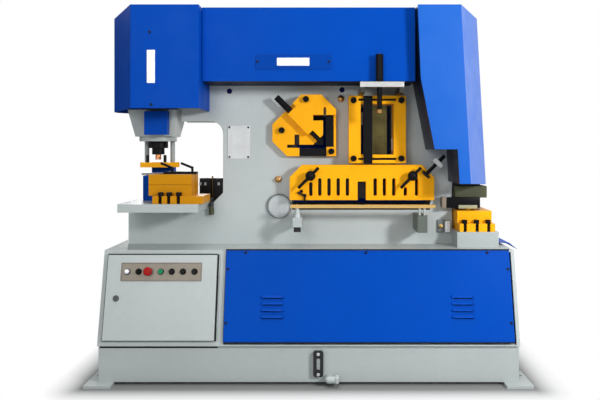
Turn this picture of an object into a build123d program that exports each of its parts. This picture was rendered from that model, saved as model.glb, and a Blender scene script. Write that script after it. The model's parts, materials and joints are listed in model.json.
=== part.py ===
from build123d import *
import os
from math import atan2, cos, sin, sqrt

# Clearances shared by all pieces
overrun = 6
running_gap = 0.05
seat_gap = 0.3
screw_r = 6
screw_head = 4

# Base cabinet
base_length = 1960
base_top = 616
base_top_y = -285
base_rear_y = 300
slope_foot_y = -387
slope_foot_z = 187
plinth_y = -367
base_wall = 6
partition_x = -415
foot_height = 14
foot_inner = 70
foot_outer = 55
foot_depth = 130
foot_front_y = -417
anchor_out = 28
anchor_span_y = 560
anchor_r = 11
drain_x = 92
drain_z = 36
drain_r = 17
drain_reach = 30
drain_length = 48
drain_cap_r = 22
drain_cap_length = 16

# Door on the sloped front, measured along the slope from its lower edge
door_x = (-953, -436)
door_up = (26, 417)
door_depth = 20
door_wall = 2.5
opening_lip = 22
hinge_offset = 6
hinge_r = 6
pin_r = 3
knuckle_length = 36
hinge_inset = 60
hinge_tab = 8
lock_x = -902
lock_up = 216
lock_r = 9
lock_flange_r = 14
lock_flange = 4
lock_slot = 3
cam_length = 46
cam_width = 12
cam_thickness = 3
cam_drop = 12

# Control plate and its controls
plate_x = (-887, -506)
plate_up = (295, 381)
plate_sheet = 2
control_up = 339
control_r = 11
control_stem = 10
control_stand = 11
mushroom_r = 20
mushroom_height = 13
mushroom_stand = 14
knob_bar = 7
knob_height = 9
lamp_x = -857
left_selector_x = -804
stop_x = -757
start_x = -699
right_selector_x = -648
punch_button_x = -595
shear_button_x = -540

# Blue front panel with louvres, measured along the slope
panel_x = (-395, 953)
panel_up = (19, 439)
panel_depth = 14
panel_wall = 2.5
louvre_starts = (-219, 672)
louvre_length = 99
louvre_pitch = 30.4
louvre_count = 4
louvre_first_up = 127
louvre_height = 11
louvre_rise = 8
louvre_slit = 4
panel_screw_inset = 11
panel_top_screws = (-301, 271, 848)
panel_side_screws = (104, 351)
panel_gap_low = 7
panel_gap_side = 11

# Oil level gauge on the plinth
gauge_x = (21, 68)
gauge_z = (44, 162)
gauge_depth = 20
gauge_corner_r = 11
gauge_slot_inset = 14
gauge_slot_end = 30
gauge_slot_depth = 6

# Motor with pump inside the base
motor_x = (60, 420)
motor_y = 0
motor_r = 105
motor_foot = 30
pump_r = 55
pump_length = 110

# Frame plates
plate_thickness = 35
plate_gap = 90
plate_left = -931
jaw_z = 800
throat_x = -447
throat_chamfer = 77
throat_top = 1243
throat_r = 65
frame_right = 725
frame_right_top = 700
frame_right_turn = 1300
spacer_r = 32
spacer_places = ((-590, 1640), (120, 1640), (540, 1640), (-740, 700), (250, 690), (650, 690))

# Sheet covers
cover_top = 1778
cover_wall = 3
hood_front_y = -354
hood_rear_y = 260
hood_flat_y = 30
punch_hood_x = (-836, -516)
punch_hood_left = -1021
punch_hood_bottom = 1292
beam_x = (-513, 507)
beam_front_y = -290
beam_rear_y = 200
beam_bottom = 1425
hood_screw_places = ((-745, 1649), (-738, 1309))
beam_screw_x = (-247, 93)
beam_screw_z = 1518
guard_x = (-135, 680)
guard_upper_right = 500
guard_step = 1085
guard_bottom = 760
guard_hem = 14
shear_hood_left = 510
shear_hood_top_right = 713
shear_hood_reach = 151
shear_hood_lean = 46
shear_hood_bottom = 937
shear_hood_drop = 20
shear_hood_step = 1099
shear_hood_turn = 1434
shear_hood_turn_x = 524
shear_hood_step_x = 589
shear_hood_leg_x = (697, 706)

# Punch station
punch_x = -800
arm_reach = 140
cylinder_r = 108
cylinder_z = (1300, 1660)
piston_r = 80
piston_length = 60
piston_top = 1600
bore_floor = 1335
rod_r = 45
guide_top_size = 253
guide_bottom_size = 193
guide_bottom = 1165
guide_corner_r = 20
guide_flange_r = 95
guide_flange = 24
ram_cover_x = (-826, -711)
ram_cover_z = (1172, 1289)
ram_cover_depth = 44
holder_r = 50
holder_neck_r = 32
holder_waist = 1106
holder_z = (1073, 1141)
punch_r = 15
punch_tip = 1046
stripper_z = (1006, 1032)
stripper_left = 80
stripper_right = 65
stripper_depth = 104
stripper_point = 46
stripper_hole_r = 36
post_r = 12
post_spread = 68
post_y = 30
stripper_bolt_r = 8
stripper_bolt_spread = 45
stripper_bolt_y = -38
stripper_bolt_height = 38
bolster_left = 47
bolster_right = 74
riser_depth = 35
bolster_y = (-115, 80)
bolster_top = 966
slug_r = 26
die_size = (150, 88, 12)
die_hole_r = 18
tool_x = (-772, -565)
tool_y = (-280, -126)
tool_z = (876, 978)
tool_seam = 927
tool_groove = 3
tool_cheek_slot = 14
clamp_x = (-745, -505)
clamp_front_y = -312
clamp_slot_places = (-709, -668, -622)
clamp_slot_width = 17
clamp_slot_depth = 32
clamp_shank_r = 7
clamp_bolt_r = 13
clamp_bolt_head = 18
gauge_bar_x = (-716, -552)
gauge_bar_y = (-222, -192)
gauge_bar_height = 13
gauge_rod_r = 6
gauge_post_height = 24
gauge_arm_length = 60
gauge_arm_turn = -68
gauge_rod_places = (-676, -577)
table_left = -905
table_front_y = -330
table_top = 839
switch_x = (-601, -537)
switch_pitch = 72
switch_z = (782, 945)
switch_depth = 46
switch_edge = 5

# Rocker, its pivot and its cylinder
rocker_thickness = 80
pivot_x = -160
pivot_z = 809
pivot_r = 58
pivot_cap_r = 62
pivot_cap = 12
pivot_groove = 5
rocker_boss_r = 112
rocker_left = -250
rocker_shoulder_z = 1000
rocker_top = 1400
rocker_top_x = (-150, 470)
rocker_pad_z = 1180
rocker_pad_x = (545, 720)
rocker_bottom = 900
rocker_bottom_x = -95
rocker_tip_x = 878
rocker_tip_z = (912, 1000)
shear_x = 640
shear_r = 43
shear_z = (1440, 1740)
shear_bore_r = 33
shear_bore_z = (1465, 1650)
shear_pin_z = 1692
shear_pin_r = 18
shear_rod_r = 22
shear_piston_top = 1640
shear_piston_length = 30

# Angle station
angle_x = (-192, 131)
angle_z = (1065, 1374)
angle_lower = 35
angle_raised = 35
angle_corner = 148
angle_cut_corner = 74
angle_seat_from = 102.5
angle_seat_side = 36
angle_clamp_edge = 21
angle_screw_out = 247.5
angle_nose_from = 300.5
angle_relief_x = (67, 81)
angle_relief_top = 1311
angle_inner_x = 65
angle_inner_z = 1123
angle_vertical_x = (65, 119)
angle_vertical_z = (1112, 1272)
angle_horizontal_x = (-55, 82)
angle_blade_width = 40
angle_arm_x = 15
angle_arm_z = 1244
angle_tail_x = -118
angle_tail_z = 1107
angle_stub_x = (-80, -55)
angle_stub_top = 1174
angle_window_x = (-70, 125)
angle_window_z = (1060, 1290)
angle_block_x = 60
angle_block_z = 1128
angle_screw_start = (-170, 1362)
angle_screw_r = 9
angle_knob_r = 16
angle_pad_r = 11
angle_pad_end = 318
cap_head_r = 15
cap_head = 20
cap_socket_r = 8

# Section station
section_x = (193, 478)
section_z = (1030, 1367)
section_depth = 90
section_window_x = (253, 417)
section_window_z = (1073, 1326)
section_slot_height = 11
section_slot_inset = 48
section_slot_depth = 20
section_edge = 4
guide_bar_x = (266, 310)
guide_bar_inset = 2
guide_bar_depth = 14
guide_stem_r = 7
section_blade_x = (312, 396)
crossbar_x = (242, 449)
crossbar_z = (1394, 1418)
crossbar_y = (-332, -302)
crossbar_leg = 22
crossbar_foot = 30
spindle_x = 334
spindle_grip_r = 18
spindle_grip_z = (1424, 1550)
spindle_r = 12
spindle_bottom = 1288
spindle_foot_r = 17
spindle_foot = 18
section_screw_inset = 24

# Flat-bar station
flat_x = (-102, 621)
flat_z = (845, 1022)
flat_plate = 40
flat_chamfer = 62
flat_pad_width = 60
flat_slot_width = 17
flat_slot_z = (866, 955)
flat_left_slots = (4, 49, 95, 141, 187)
flat_right_slots = (326, 372, 419, 477, 533)
flat_short_left = 935
flat_short_right = 910
flat_window_x = (238, 280)
flat_window_top = 938
shear_slot_x = (-95, 615)
shear_slot_z = (826, 850)
rear_slot_bottom = 780
fixed_blade_x = (-93, 612)
fixed_blade_height = 36
moving_blade_z = (852, 900)
moving_blade_depth = 40
hold_screw_z = 968
hold_left_x = 3
hold_right_x = 509
hold_stem_r = 10
hold_ball_r = 25
hold_bar_r = 8
hold_bar_short = 57
hold_bar_long = 85
hold_stand = 12
corner_screw_start = (572, 968)
corner_screw_r = 9.5
corner_screw_length = 140
corner_stand = 10
corner_nut_size = (45, 21, 13)
corner_nut_from = 2
corner_knob_from = 79.5
corner_knob_size = (54, 30, 22)
bar_x = (-93, 612)
bar_z = (813, 829)
bar_y = (-242, -218)
bracket_front_y = -250
left_bracket_x = (-82, -38)
left_bracket_z = (721, 767)
left_cone_r = (17, 9)
left_foot_inset = 5
left_foot_height = 24
right_bracket_x = (525, 572)
right_bracket_z = (694, 777)
right_post_r = 6
right_post_places = (537, 560)
lever_x = -26
lever_z = 868
lever_r = 9
lever_thickness = 10
lever_arm = 40
lever_turn = -66
lever_drop = 37
lever_width = 9
lever_knob_r = 8
lever_knob_place = (-17, 22)

# Notcher
notch_table_x = (725, 929)
notch_table_y = (-210, 130)
notch_table_top = 693
notch_bar_x = (738, 912)
notch_bar_y = (-206, 90)
notch_bar_top = 733
notch_slot_places = (765, 824, 881)
notch_slot_width = 16
notch_slot_depth = 30
notch_die_x = (732, 903)
notch_die_y = (-176, 80)
notch_die_top = 793
notch_pocket_x = (742, 868)
notch_pocket_y = (-97, 47)
notch_ram_x = (730, 900)
notch_ram_y = (-105, 55)
notch_ram_z = (854, 912)
notch_ram_corner = 14
notch_punch_x = (748, 856)
notch_punch_y = (-93, 43)
notch_punch_bottom = 800
chute_out = 66
chute_y = (-120, 60)
chute_wall = 3
chute_lip = 38
chute_bend = 8
chute_top = 634
chute_drop = 38

# Places worked out from the sizes above
frame_front = -(plate_gap / 2 + plate_thickness)
frame_rear = -frame_front
frame_top = cover_top - cover_wall
angle_face = frame_front - angle_lower
angle_front = angle_face - angle_raised
angle_line_y = (angle_face + angle_front) / 2
section_front = frame_front - section_depth
flat_front = frame_front - angle_lower - flat_plate
corner_line_y = flat_front - corner_stand
arm_x = punch_x + arm_reach
bolster_x = (punch_x - bolster_left, punch_x + bolster_right)
stripper_x = (punch_x - stripper_left, punch_x + stripper_right)
chute_x = (notch_table_x[1], base_length / 2 + chute_out)
slope_rise = base_top - slope_foot_z
slope_run = base_top_y - slope_foot_y
slope_angle = atan2(slope_run, slope_rise)
slope = Plane(origin=(0, slope_foot_y, slope_foot_z), x_dir=(1, 0, 0),
              z_dir=(0, -cos(slope_angle), sin(slope_angle)))
door_face = seat_gap + door_depth
control_face = door_face + plate_sheet
hinge_line_x = door_x[1] + hinge_offset
hinge_line_lift = seat_gap + door_depth / 2
base_floor = foot_height + base_wall


def block(xs, ys, zs):
    size = Box(xs[1] - xs[0], ys[1] - ys[0], zs[1] - zs[0])
    return Pos((xs[0] + xs[1]) / 2, (ys[0] + ys[1]) / 2, (zs[0] + zs[1]) / 2) * size


def upright(x, y, radius, zs):
    return Pos(x, y, (zs[0] + zs[1]) / 2) * Cylinder(radius, zs[1] - zs[0])


def across(x, z, radius, ys):
    turned = Rot(90, 0, 0) * Cylinder(radius, ys[1] - ys[0])
    return Pos(x, (ys[0] + ys[1]) / 2, z) * turned


def along_y(points, ys):
    face = make_face(Polyline(*[(x, 0, z) for x, z in points], close=True))
    return Pos(0, ys[0], 0) * extrude(face, ys[1] - ys[0], dir=(0, 1, 0))


def along_z(points, zs):
    face = make_face(Polyline(*[(x, y, 0) for x, y in points], close=True))
    return Pos(0, 0, zs[0]) * extrude(face, zs[1] - zs[0], dir=(0, 0, 1))


def long_hole(x, width, zs, ys):
    radius = width / 2
    middle = block((x - radius, x + radius), ys, (zs[0] + radius, zs[1] - radius))
    return middle + across(x, zs[0] + radius, radius, ys) + across(x, zs[1] - radius, radius, ys)


def slanted_rod(start, y, turn, radius, first, last):
    rod = Pos(0, 0, (first + last) / 2) * Cylinder(radius, last - first)
    return Pos(start[0], y, start[1]) * Rot(0, turn, 0) * rod


def socket_screw(radius, head, socket):
    screw = Pos(0, 0, head / 2) * Cylinder(radius, head)
    screw -= Pos(0, 0, head) * extrude(RegularPolygon(socket, 6), -head / 2)
    return screw


def on_slope(shape):
    return slope.location * shape


def base_profile(inset):
    points = [(base_rear_y, foot_height), (plinth_y, foot_height), (plinth_y, slope_foot_z),
              (slope_foot_y, slope_foot_z), (base_top_y, base_top), (base_rear_y, base_top)]
    face = make_face(Polyline(*[(0, y, z) for y, z in points], close=True))
    if inset:
        face = offset(face, -inset, kind=Kind.INTERSECTION)
    return face


def slope_opening(xs, ups):
    lip_xs = (xs[0] + opening_lip, xs[1] - opening_lip)
    lip_ups = (ups[0] + opening_lip, ups[1] - opening_lip)
    return on_slope(block(lip_xs, lip_ups, (-base_wall - overrun, overrun)))


def panel_gap():
    through = (-base_wall - overrun, overrun)
    right = panel_x[1] + panel_gap_side
    below = block((panel_x[0], right), (panel_gap_low, panel_up[0]), through)
    beside = block((panel_x[1], right), (panel_gap_low, panel_up[1] - panel_gap_low), through)
    return on_slope(below + beside)


def drain():
    reach_y = plinth_y - drain_reach
    stub = across(drain_x, drain_z, drain_r, (reach_y, plinth_y))
    stub += Pos(drain_x, reach_y, drain_z) * Sphere(drain_r)
    side_pipe = Rot(0, 90, 0) * Cylinder(drain_r, drain_length)
    side = Pos(drain_x + drain_length / 2, reach_y, drain_z) * side_pipe
    cap_x = drain_x + drain_length - drain_cap_length / 2
    cap = Pos(cap_x, reach_y, drain_z) * Rot(0, 90, 0) * extrude(
        RegularPolygon(drain_cap_r, 6), drain_cap_length / 2, both=True)
    return stub + side + cap


def hinge_places():
    return (door_up[0] + hinge_inset, door_up[1] - hinge_inset - knuckle_length)


def gudgeon(up):
    knuckle = Pos(hinge_line_x, up + knuckle_length / 2, hinge_line_lift) * Rot(90, 0, 0) * Cylinder(
        hinge_r, knuckle_length)
    leaf_x = (hinge_line_x - pin_r, hinge_line_x + pin_r)
    leaf = block(leaf_x, (up, up + knuckle_length), (0, hinge_line_lift))
    pin = Pos(hinge_line_x, up + knuckle_length, hinge_line_lift) * Rot(90, 0, 0) * Cylinder(
        pin_r, knuckle_length * 2)
    return knuckle + leaf + pin


def make_base():
    half = base_length / 2
    base = Pos(-half, 0, 0) * extrude(base_profile(0), base_length, dir=(1, 0, 0))
    inner_half = half - base_wall
    base -= Pos(-inner_half, 0, 0) * extrude(base_profile(base_wall), inner_half * 2, dir=(1, 0, 0))
    base += Pos(partition_x, 0, 0) * extrude(base_profile(base_wall), base_wall, dir=(1, 0, 0))
    base -= slope_opening(door_x, door_up)
    base -= slope_opening(panel_x, panel_up)
    base -= panel_gap()
    for side in (-1, 1):
        for row in (-1, 1):
            edge = sorted((side * (half - foot_inner), side * (half + foot_outer)))
            middle = row * anchor_span_y / 2
            front = foot_front_y if row < 0 else middle - foot_depth / 2
            foot = block(edge, (front, middle + foot_depth / 2), (0, foot_height))
            foot -= upright(side * (half + anchor_out), middle, anchor_r, (-overrun, foot_height + overrun))
            base += foot
    base += drain()
    base -= upright(punch_x, 0, slug_r, (base_top - base_wall - overrun, base_top + overrun))
    for up in hinge_places():
        base += on_slope(gudgeon(up))
    return base


def make_door():
    lift = (seat_gap, door_face)
    door = block(door_x, door_up, lift)
    inner_x = (door_x[0] + door_wall, door_x[1] - door_wall)
    inner_up = (door_up[0] + door_wall, door_up[1] - door_wall)
    door -= block(inner_x, inner_up, (seat_gap - overrun, door_face - door_wall))
    for x in control_places():
        door -= Pos(x, control_up, door_face) * Cylinder(control_r + running_gap, door_depth)
    door -= Pos(lock_x, lock_up, door_face) * Cylinder(lock_r + running_gap, door_depth)
    for up in hinge_places():
        low = up + knuckle_length + seat_gap
        high = low + knuckle_length - seat_gap
        tab_x = (door_x[1] - hinge_tab, hinge_line_x)
        tab_lift = (hinge_line_lift - hinge_tab / 2, hinge_line_lift + hinge_tab / 2)
        door += block(tab_x, (low, high), tab_lift)
        knuckle = Cylinder(hinge_r, high - low)
        door += Pos(hinge_line_x, (low + high) / 2, hinge_line_lift) * Rot(90, 0, 0) * knuckle
        bore = Cylinder(pin_r + running_gap, high - low + overrun)
        door -= Pos(hinge_line_x, (low + high) / 2, hinge_line_lift) * Rot(90, 0, 0) * bore
    return on_slope(door)


def make_lock():
    lock = Pos(lock_x, lock_up, door_face + lock_flange / 2) * Cylinder(lock_flange_r, lock_flange)
    barrel_low = -cam_drop
    barrel = Cylinder(lock_r, door_face - barrel_low)
    lock += Pos(lock_x, lock_up, (door_face + barrel_low) / 2) * barrel
    cam_x = (lock_x - cam_width / 2, lock_x + cam_width / 2)
    cam_up = (lock_up - cam_width / 2, lock_up + cam_length)
    lock += block(cam_x, cam_up, (barrel_low - cam_thickness, barrel_low))
    slot_x = (lock_x - lock_slot / 2, lock_x + lock_slot / 2)
    slot_up = (lock_up - lock_r / 2, lock_up + lock_r / 2)
    lock -= block(slot_x, slot_up, (door_face + lock_flange - lock_slot, door_face + lock_flange + overrun))
    return on_slope(lock)


def control_places():
    return (lamp_x, left_selector_x, stop_x, start_x, right_selector_x, punch_button_x, shear_button_x)


def make_control_plate():
    plate = block(plate_x, plate_up, (door_face, control_face))
    for x in control_places():
        plate -= Pos(x, control_up, control_face) * Cylinder(control_r + running_gap, door_depth)
    return on_slope(plate)


def stem(x, height):
    low = control_face - control_stem
    high = control_face + height
    return Pos(x, control_up, (low + high) / 2) * Cylinder(control_r, high - low)


def make_button(x):
    return on_slope(stem(x, control_stand))


def make_mushroom():
    button = stem(stop_x, mushroom_stand)
    dome = Pos(stop_x, control_up, control_face + mushroom_stand) * Cylinder(
        mushroom_r, mushroom_height, align=(Align.CENTER, Align.CENTER, Align.MIN))
    rim = dome.edges().filter_by(GeomType.CIRCLE).sort_by(Axis.Z)[-1]
    return on_slope(button + fillet(rim, mushroom_height / 2))


def make_selector(x):
    knob = stem(x, control_stand)
    bar_x = (x - knob_bar / 2, x + knob_bar / 2)
    top = control_face + control_stand
    bar_up = (control_up - control_r, control_up + control_r)
    knob += block(bar_x, bar_up, (top - knob_bar, top + knob_height))
    return on_slope(knob)


def make_lamp():
    lamp = stem(lamp_x, control_stand)
    lens = Pos(lamp_x, control_up, control_face + control_stand) * Sphere(control_r)
    return on_slope(lamp + lens)


def louvre(x, up):
    face = panel_depth
    points = [(up, face), (up + louvre_height, face), (up, face + louvre_rise)]
    bump = Pos(x, 0, 0) * extrude(
        make_face(Polyline(*[(0, y, z) for y, z in points], close=True)), louvre_length, dir=(1, 0, 0))
    return bump


def make_front_panel():
    panel = block(panel_x, panel_up, (0, panel_depth))
    inner_x = (panel_x[0] + panel_wall, panel_x[1] - panel_wall)
    inner_up = (panel_up[0] + panel_wall, panel_up[1] - panel_wall)
    panel -= block(inner_x, inner_up, (-overrun, panel_depth - panel_wall))
    for x in louvre_starts:
        for row in range(louvre_count):
            up = louvre_first_up + row * louvre_pitch
            panel += louvre(x, up)
            slit_x = (x + louvre_slit, x + louvre_length - louvre_slit)
            panel -= block(slit_x, (up - louvre_slit, up), (-overrun, panel_depth + overrun))
    return on_slope(panel)


def panel_screw_places():
    high = panel_up[1] - panel_screw_inset
    left = panel_x[0] + panel_screw_inset
    right = panel_x[1] - panel_screw_inset
    places = [(x, high) for x in panel_top_screws]
    return places + [(x, up) for x in (left, right) for up in panel_side_screws]


def make_cover_screws():
    head = Pos(0, 0, screw_head / 2) * Cylinder(screw_r, screw_head)
    screws = [on_slope(Pos(x, up, panel_depth) * head) for x, up in panel_screw_places()]
    forward = Rot(90, 0, 0) * head
    screws += [Pos(x, hood_front_y, z) * forward for x, z in hood_screw_places]
    screws += [Pos(x, beam_front_y, beam_screw_z) * forward for x in beam_screw_x]
    return screws


def make_oil_gauge():
    body = block(gauge_x, (plinth_y - gauge_depth, plinth_y), gauge_z)
    body = fillet(body.edges().filter_by(Axis.Y), gauge_corner_r)
    slot_x = (gauge_x[0] + gauge_slot_inset, gauge_x[1] - gauge_slot_inset)
    slot_z = (gauge_z[0] + gauge_slot_end, gauge_z[1] - gauge_slot_end)
    front = plinth_y - gauge_depth
    body -= block(slot_x, (front - overrun, front + gauge_slot_depth), slot_z)
    return body


def make_motor():
    axis_z = base_floor + motor_foot + motor_r
    motor = Pos((motor_x[0] + motor_x[1]) / 2, motor_y, axis_z) * Rot(0, 90, 0) * Cylinder(
        motor_r, motor_x[1] - motor_x[0])
    motor += block(motor_x, (motor_y - motor_r / 2, motor_y + motor_r / 2), (base_floor, axis_z))
    pump_x = motor_x[0] - pump_length / 2
    motor += Pos(pump_x, motor_y, axis_z) * Rot(0, 90, 0) * Cylinder(pump_r, pump_length)
    return motor


def frame_outline():
    return [(plate_left, base_top), (plate_left, jaw_z), (throat_x - throat_chamfer, jaw_z),
            (throat_x, jaw_z + throat_chamfer), (throat_x, throat_top), (arm_x, throat_top),
            (arm_x, frame_top), (frame_right_top, frame_top), (frame_right, frame_right_turn),
            (frame_right, base_top)]


def frame_windows(ys, slot_bottom):
    cut = block(shear_slot_x, ys, (slot_bottom, shear_slot_z[1]))
    cut += block((angle_inner_x, angle_window_x[1]), ys, (angle_z[0], angle_vertical_z[1]))
    cut += block((angle_horizontal_x[0], angle_window_x[1]), ys, (angle_z[0], angle_inner_z))
    cut += block((angle_arm_x, angle_inner_x), ys, (angle_arm_z, angle_vertical_z[1]))
    cut += block((angle_tail_x, angle_horizontal_x[0]), ys, (angle_tail_z, angle_inner_z))
    cut += block(section_window_x, ys, section_window_z)
    cut += across(pivot_x, pivot_z, pivot_r + running_gap, ys)
    cut += across(shear_x, shear_pin_z, shear_pin_r + running_gap, ys)
    return cut


def make_frame_plate(ys, slot_bottom):
    plate = along_y(frame_outline(), ys)
    corner = [edge for edge in plate.edges().filter_by(Axis.Y)
              if abs(edge.center().X - throat_x) < overrun and abs(edge.center().Z - throat_top) < overrun]
    plate = fillet(corner, throat_r)
    cut_ys = (ys[0] - overrun, ys[1] + overrun)
    return plate - frame_windows(cut_ys, slot_bottom)


def make_front_plate():
    plate = make_frame_plate((frame_front, frame_front + plate_thickness), shear_slot_z[0])
    blade_z = (shear_slot_z[0] - fixed_blade_height, shear_slot_z[0])
    return plate - block(fixed_blade_x, (frame_front - overrun, -plate_gap / 2 + overrun), blade_z)


def make_rear_plate():
    plate = make_frame_plate((plate_gap / 2, frame_rear), rear_slot_bottom)
    for x, z in spacer_places:
        plate += across(x, z, spacer_r, (-plate_gap / 2, plate_gap / 2))
    return plate


def punch_hood_block(inset, bottom):
    front = hood_front_y + inset
    rear = hood_rear_y - inset
    left = punch_hood_left + inset
    plan = [(punch_hood_x[1] - inset, front), (punch_hood_x[0] + inset, front), (left, -hood_flat_y),
            (left, hood_flat_y), (punch_hood_x[0] + inset, rear), (punch_hood_x[1] - inset, rear)]
    return along_z(plan, (bottom, cover_top - inset))


def make_punch_hood():
    hood = punch_hood_block(0, punch_hood_bottom)
    hood -= punch_hood_block(cover_wall, punch_hood_bottom - overrun)
    inner_x = (punch_hood_x[1] - cover_wall - overrun, punch_hood_x[1] + overrun)
    gap = frame_rear + seat_gap
    hood -= block(inner_x, (-gap, gap), (punch_hood_bottom - overrun, frame_top))
    return hood


def make_beam_cover():
    cover = block(beam_x, (beam_front_y, beam_rear_y), (beam_bottom, cover_top))
    inner_y = (beam_front_y + cover_wall, beam_rear_y - cover_wall)
    open_x = (beam_x[0] - overrun, beam_x[1] + overrun)
    cover -= block(open_x, inner_y, (beam_bottom + cover_wall, cover_top - cover_wall))
    gap = frame_rear + seat_gap
    cover -= block(open_x, (-gap, gap), (beam_bottom - overrun, beam_bottom + cover_wall + overrun))
    return cover + make_rear_guard()


def make_rear_guard():
    left, right = guard_x
    top = beam_bottom + cover_wall
    points = [(left, top), (left, guard_bottom), (right, guard_bottom), (right, guard_step),
              (guard_upper_right, guard_step), (guard_upper_right, top)]
    sheet = along_y(points, (beam_rear_y - cover_wall, beam_rear_y))
    hem_z = (guard_bottom, guard_bottom + cover_wall)
    return sheet + block(guard_x, (beam_rear_y - guard_hem, beam_rear_y), hem_z)


def shear_hood_section(inset, z):
    lean = shear_hood_lean * (cover_top - z) / (cover_top - shear_hood_bottom)
    front = hood_front_y + inset
    rear = hood_rear_y - inset
    right = shear_hood_top_right + lean - inset
    far = right + shear_hood_reach
    left = shear_hood_left + inset
    plan = [(left, front), (right, front), (far, -hood_flat_y), (far, hood_flat_y), (right, rear),
            (left, rear)]
    return make_face(Polyline(*[(x, y, z) for x, y in plan], close=True))


def shear_hood_block(inset, bottom):
    low = bottom - shear_hood_drop
    whole = loft([shear_hood_section(inset, cover_top - inset), shear_hood_section(inset, low)])
    corner = shear_hood_top_right + shear_hood_lean
    far = shear_hood_top_right + shear_hood_reach + shear_hood_lean + overrun
    top = cover_top - inset
    step = shear_hood_step + inset
    outline = [(shear_hood_left + inset, top), (shear_hood_turn_x + inset, shear_hood_turn),
               (shear_hood_step_x + inset, step), (shear_hood_leg_x[0] + inset, step),
               (shear_hood_leg_x[1] + inset, bottom), (corner, bottom), (far, low), (far, top)]
    return whole & along_y(outline, (hood_front_y, hood_rear_y))


def make_shear_hood():
    hood = shear_hood_block(0, shear_hood_bottom) - shear_hood_block(cover_wall, shear_hood_bottom - overrun)
    gap = frame_rear + seat_gap
    left = shear_hood_left - overrun
    hood -= block((left, frame_right + seat_gap), (-gap, gap), (shear_hood_bottom - overrun, frame_top))
    return hood


def make_cylinders():
    punch = upright(punch_x, 0, cylinder_r, cylinder_z)
    punch += block((punch_x, arm_x), (frame_front, frame_rear), cylinder_z)
    punch -= upright(punch_x, 0, piston_r + running_gap, (bore_floor, cylinder_z[1] - overrun))
    punch -= upright(punch_x, 0, rod_r + running_gap, (cylinder_z[0] - overrun, bore_floor + overrun))
    shear = upright(shear_x, 0, shear_r, shear_z)
    shear -= upright(shear_x, 0, shear_bore_r + running_gap, shear_bore_z)
    shear -= upright(shear_x, 0, shear_rod_r + running_gap, (shear_z[0] - overrun, shear_bore_z[0] + overrun))
    shear += across(shear_x, shear_pin_z, shear_pin_r, (frame_front, frame_rear))
    return [punch, shear]


def make_punch_ram():
    ram = upright(punch_x, 0, rod_r, (holder_z[1], piston_top))
    return ram + upright(punch_x, 0, piston_r, (piston_top - piston_length, piston_top))


def guide_section(size, z):
    return Pos(punch_x, 0, z) * RectangleRounded(size, size, guide_corner_r)


def make_ram_guide():
    top_face = guide_section(guide_top_size, cylinder_z[0])
    guide = loft([top_face, guide_section(guide_bottom_size, guide_bottom)])
    guide += upright(punch_x, 0, guide_flange_r, (guide_bottom - guide_flange, guide_bottom))
    through = (guide_bottom - guide_flange - overrun, cylinder_z[0] + overrun)
    return guide - upright(punch_x, 0, rod_r + running_gap, through)


def make_ram_cover():
    rise_share = (ram_cover_z[1] - guide_bottom) / (cylinder_z[0] - guide_bottom)
    guide_size = guide_bottom_size + rise_share * (guide_top_size - guide_bottom_size)
    rear = -(guide_size / 2 + seat_gap)
    cover = block(ram_cover_x, (rear - ram_cover_depth, rear), ram_cover_z)
    inner_x = (ram_cover_x[0] + cover_wall, ram_cover_x[1] - cover_wall)
    inner_y = (rear - ram_cover_depth + cover_wall, rear + overrun)
    return cover - block(inner_x, inner_y, (ram_cover_z[0] - overrun, ram_cover_z[1] - cover_wall))


def make_punch_holder():
    holder = upright(punch_x, 0, holder_r, (holder_waist, holder_z[1]))
    return holder + upright(punch_x, 0, holder_neck_r, (holder_z[0], holder_waist))


def make_punch():
    return upright(punch_x, 0, punch_r, (punch_tip, holder_z[0]))


def make_stripper():
    half = stripper_depth / 2
    left, right = stripper_x
    points = [(left, -half), (right, -half), (right + stripper_point, 0), (right, half), (left, half)]
    plate = along_z(points, stripper_z)
    plate -= upright(punch_x, 0, stripper_hole_r, (stripper_z[0] - overrun, stripper_z[1] + overrun))
    post_z = (stripper_z[1], guide_bottom - guide_flange)
    for side in (-1, 1):
        plate += upright(punch_x + side * post_spread, post_y, post_r, post_z)
        bolt_z = (stripper_z[1], stripper_z[1] + stripper_bolt_height)
        plate += upright(punch_x + side * stripper_bolt_spread, stripper_bolt_y, stripper_bolt_r, bolt_z)
    return plate


def make_bolster():
    bolster = block(bolster_x, bolster_y, (table_top, bolster_top))
    riser_y = (bolster_y[1] - riser_depth, bolster_y[1])
    bolster += block(bolster_x, riser_y, (bolster_top, stripper_z[0]))
    return bolster - upright(punch_x, 0, slug_r, (table_top - overrun, bolster_top + overrun))


def make_die():
    width, depth, height = die_size
    die_z = (bolster_top, bolster_top + height)
    die = block((punch_x - width / 2, punch_x + width / 2), (-depth / 2, depth / 2), die_z)
    return die - upright(punch_x, 0, die_hole_r, (die_z[0] - overrun, die_z[1] + overrun))


def front_slots(places, width, front, depth, zs):
    cut = None
    for x in places:
        radius = width / 2
        hole = upright(x, front + depth, radius, zs)
        hole += block((x - radius, x + radius), (front - overrun, front + depth), zs)
        cut = hole if cut is None else cut + hole
    return cut


def make_tool_block():
    bar = block(clamp_x, (clamp_front_y, tool_y[1]), (table_top, tool_z[0]))
    slot_z = (table_top - overrun, tool_z[0] + overrun)
    bar -= front_slots(clamp_slot_places, clamp_slot_width, clamp_front_y, clamp_slot_depth / 2, slot_z)
    upper = block(tool_x, tool_y, tool_z)
    seam_z = (tool_seam, tool_seam + tool_groove)
    seam_x = (tool_x[0] - overrun, tool_x[1] + overrun)
    upper -= block(seam_x, (tool_y[0] - overrun, tool_y[0] + tool_groove), seam_z)
    middle = (tool_y[0] + tool_y[1]) / 2
    upper -= block((tool_x[1] - tool_cheek_slot, tool_x[1] + overrun),
                   (middle, middle + tool_cheek_slot), (tool_z[0] - overrun, tool_z[1] + overrun))
    return [bar, upper]


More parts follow.
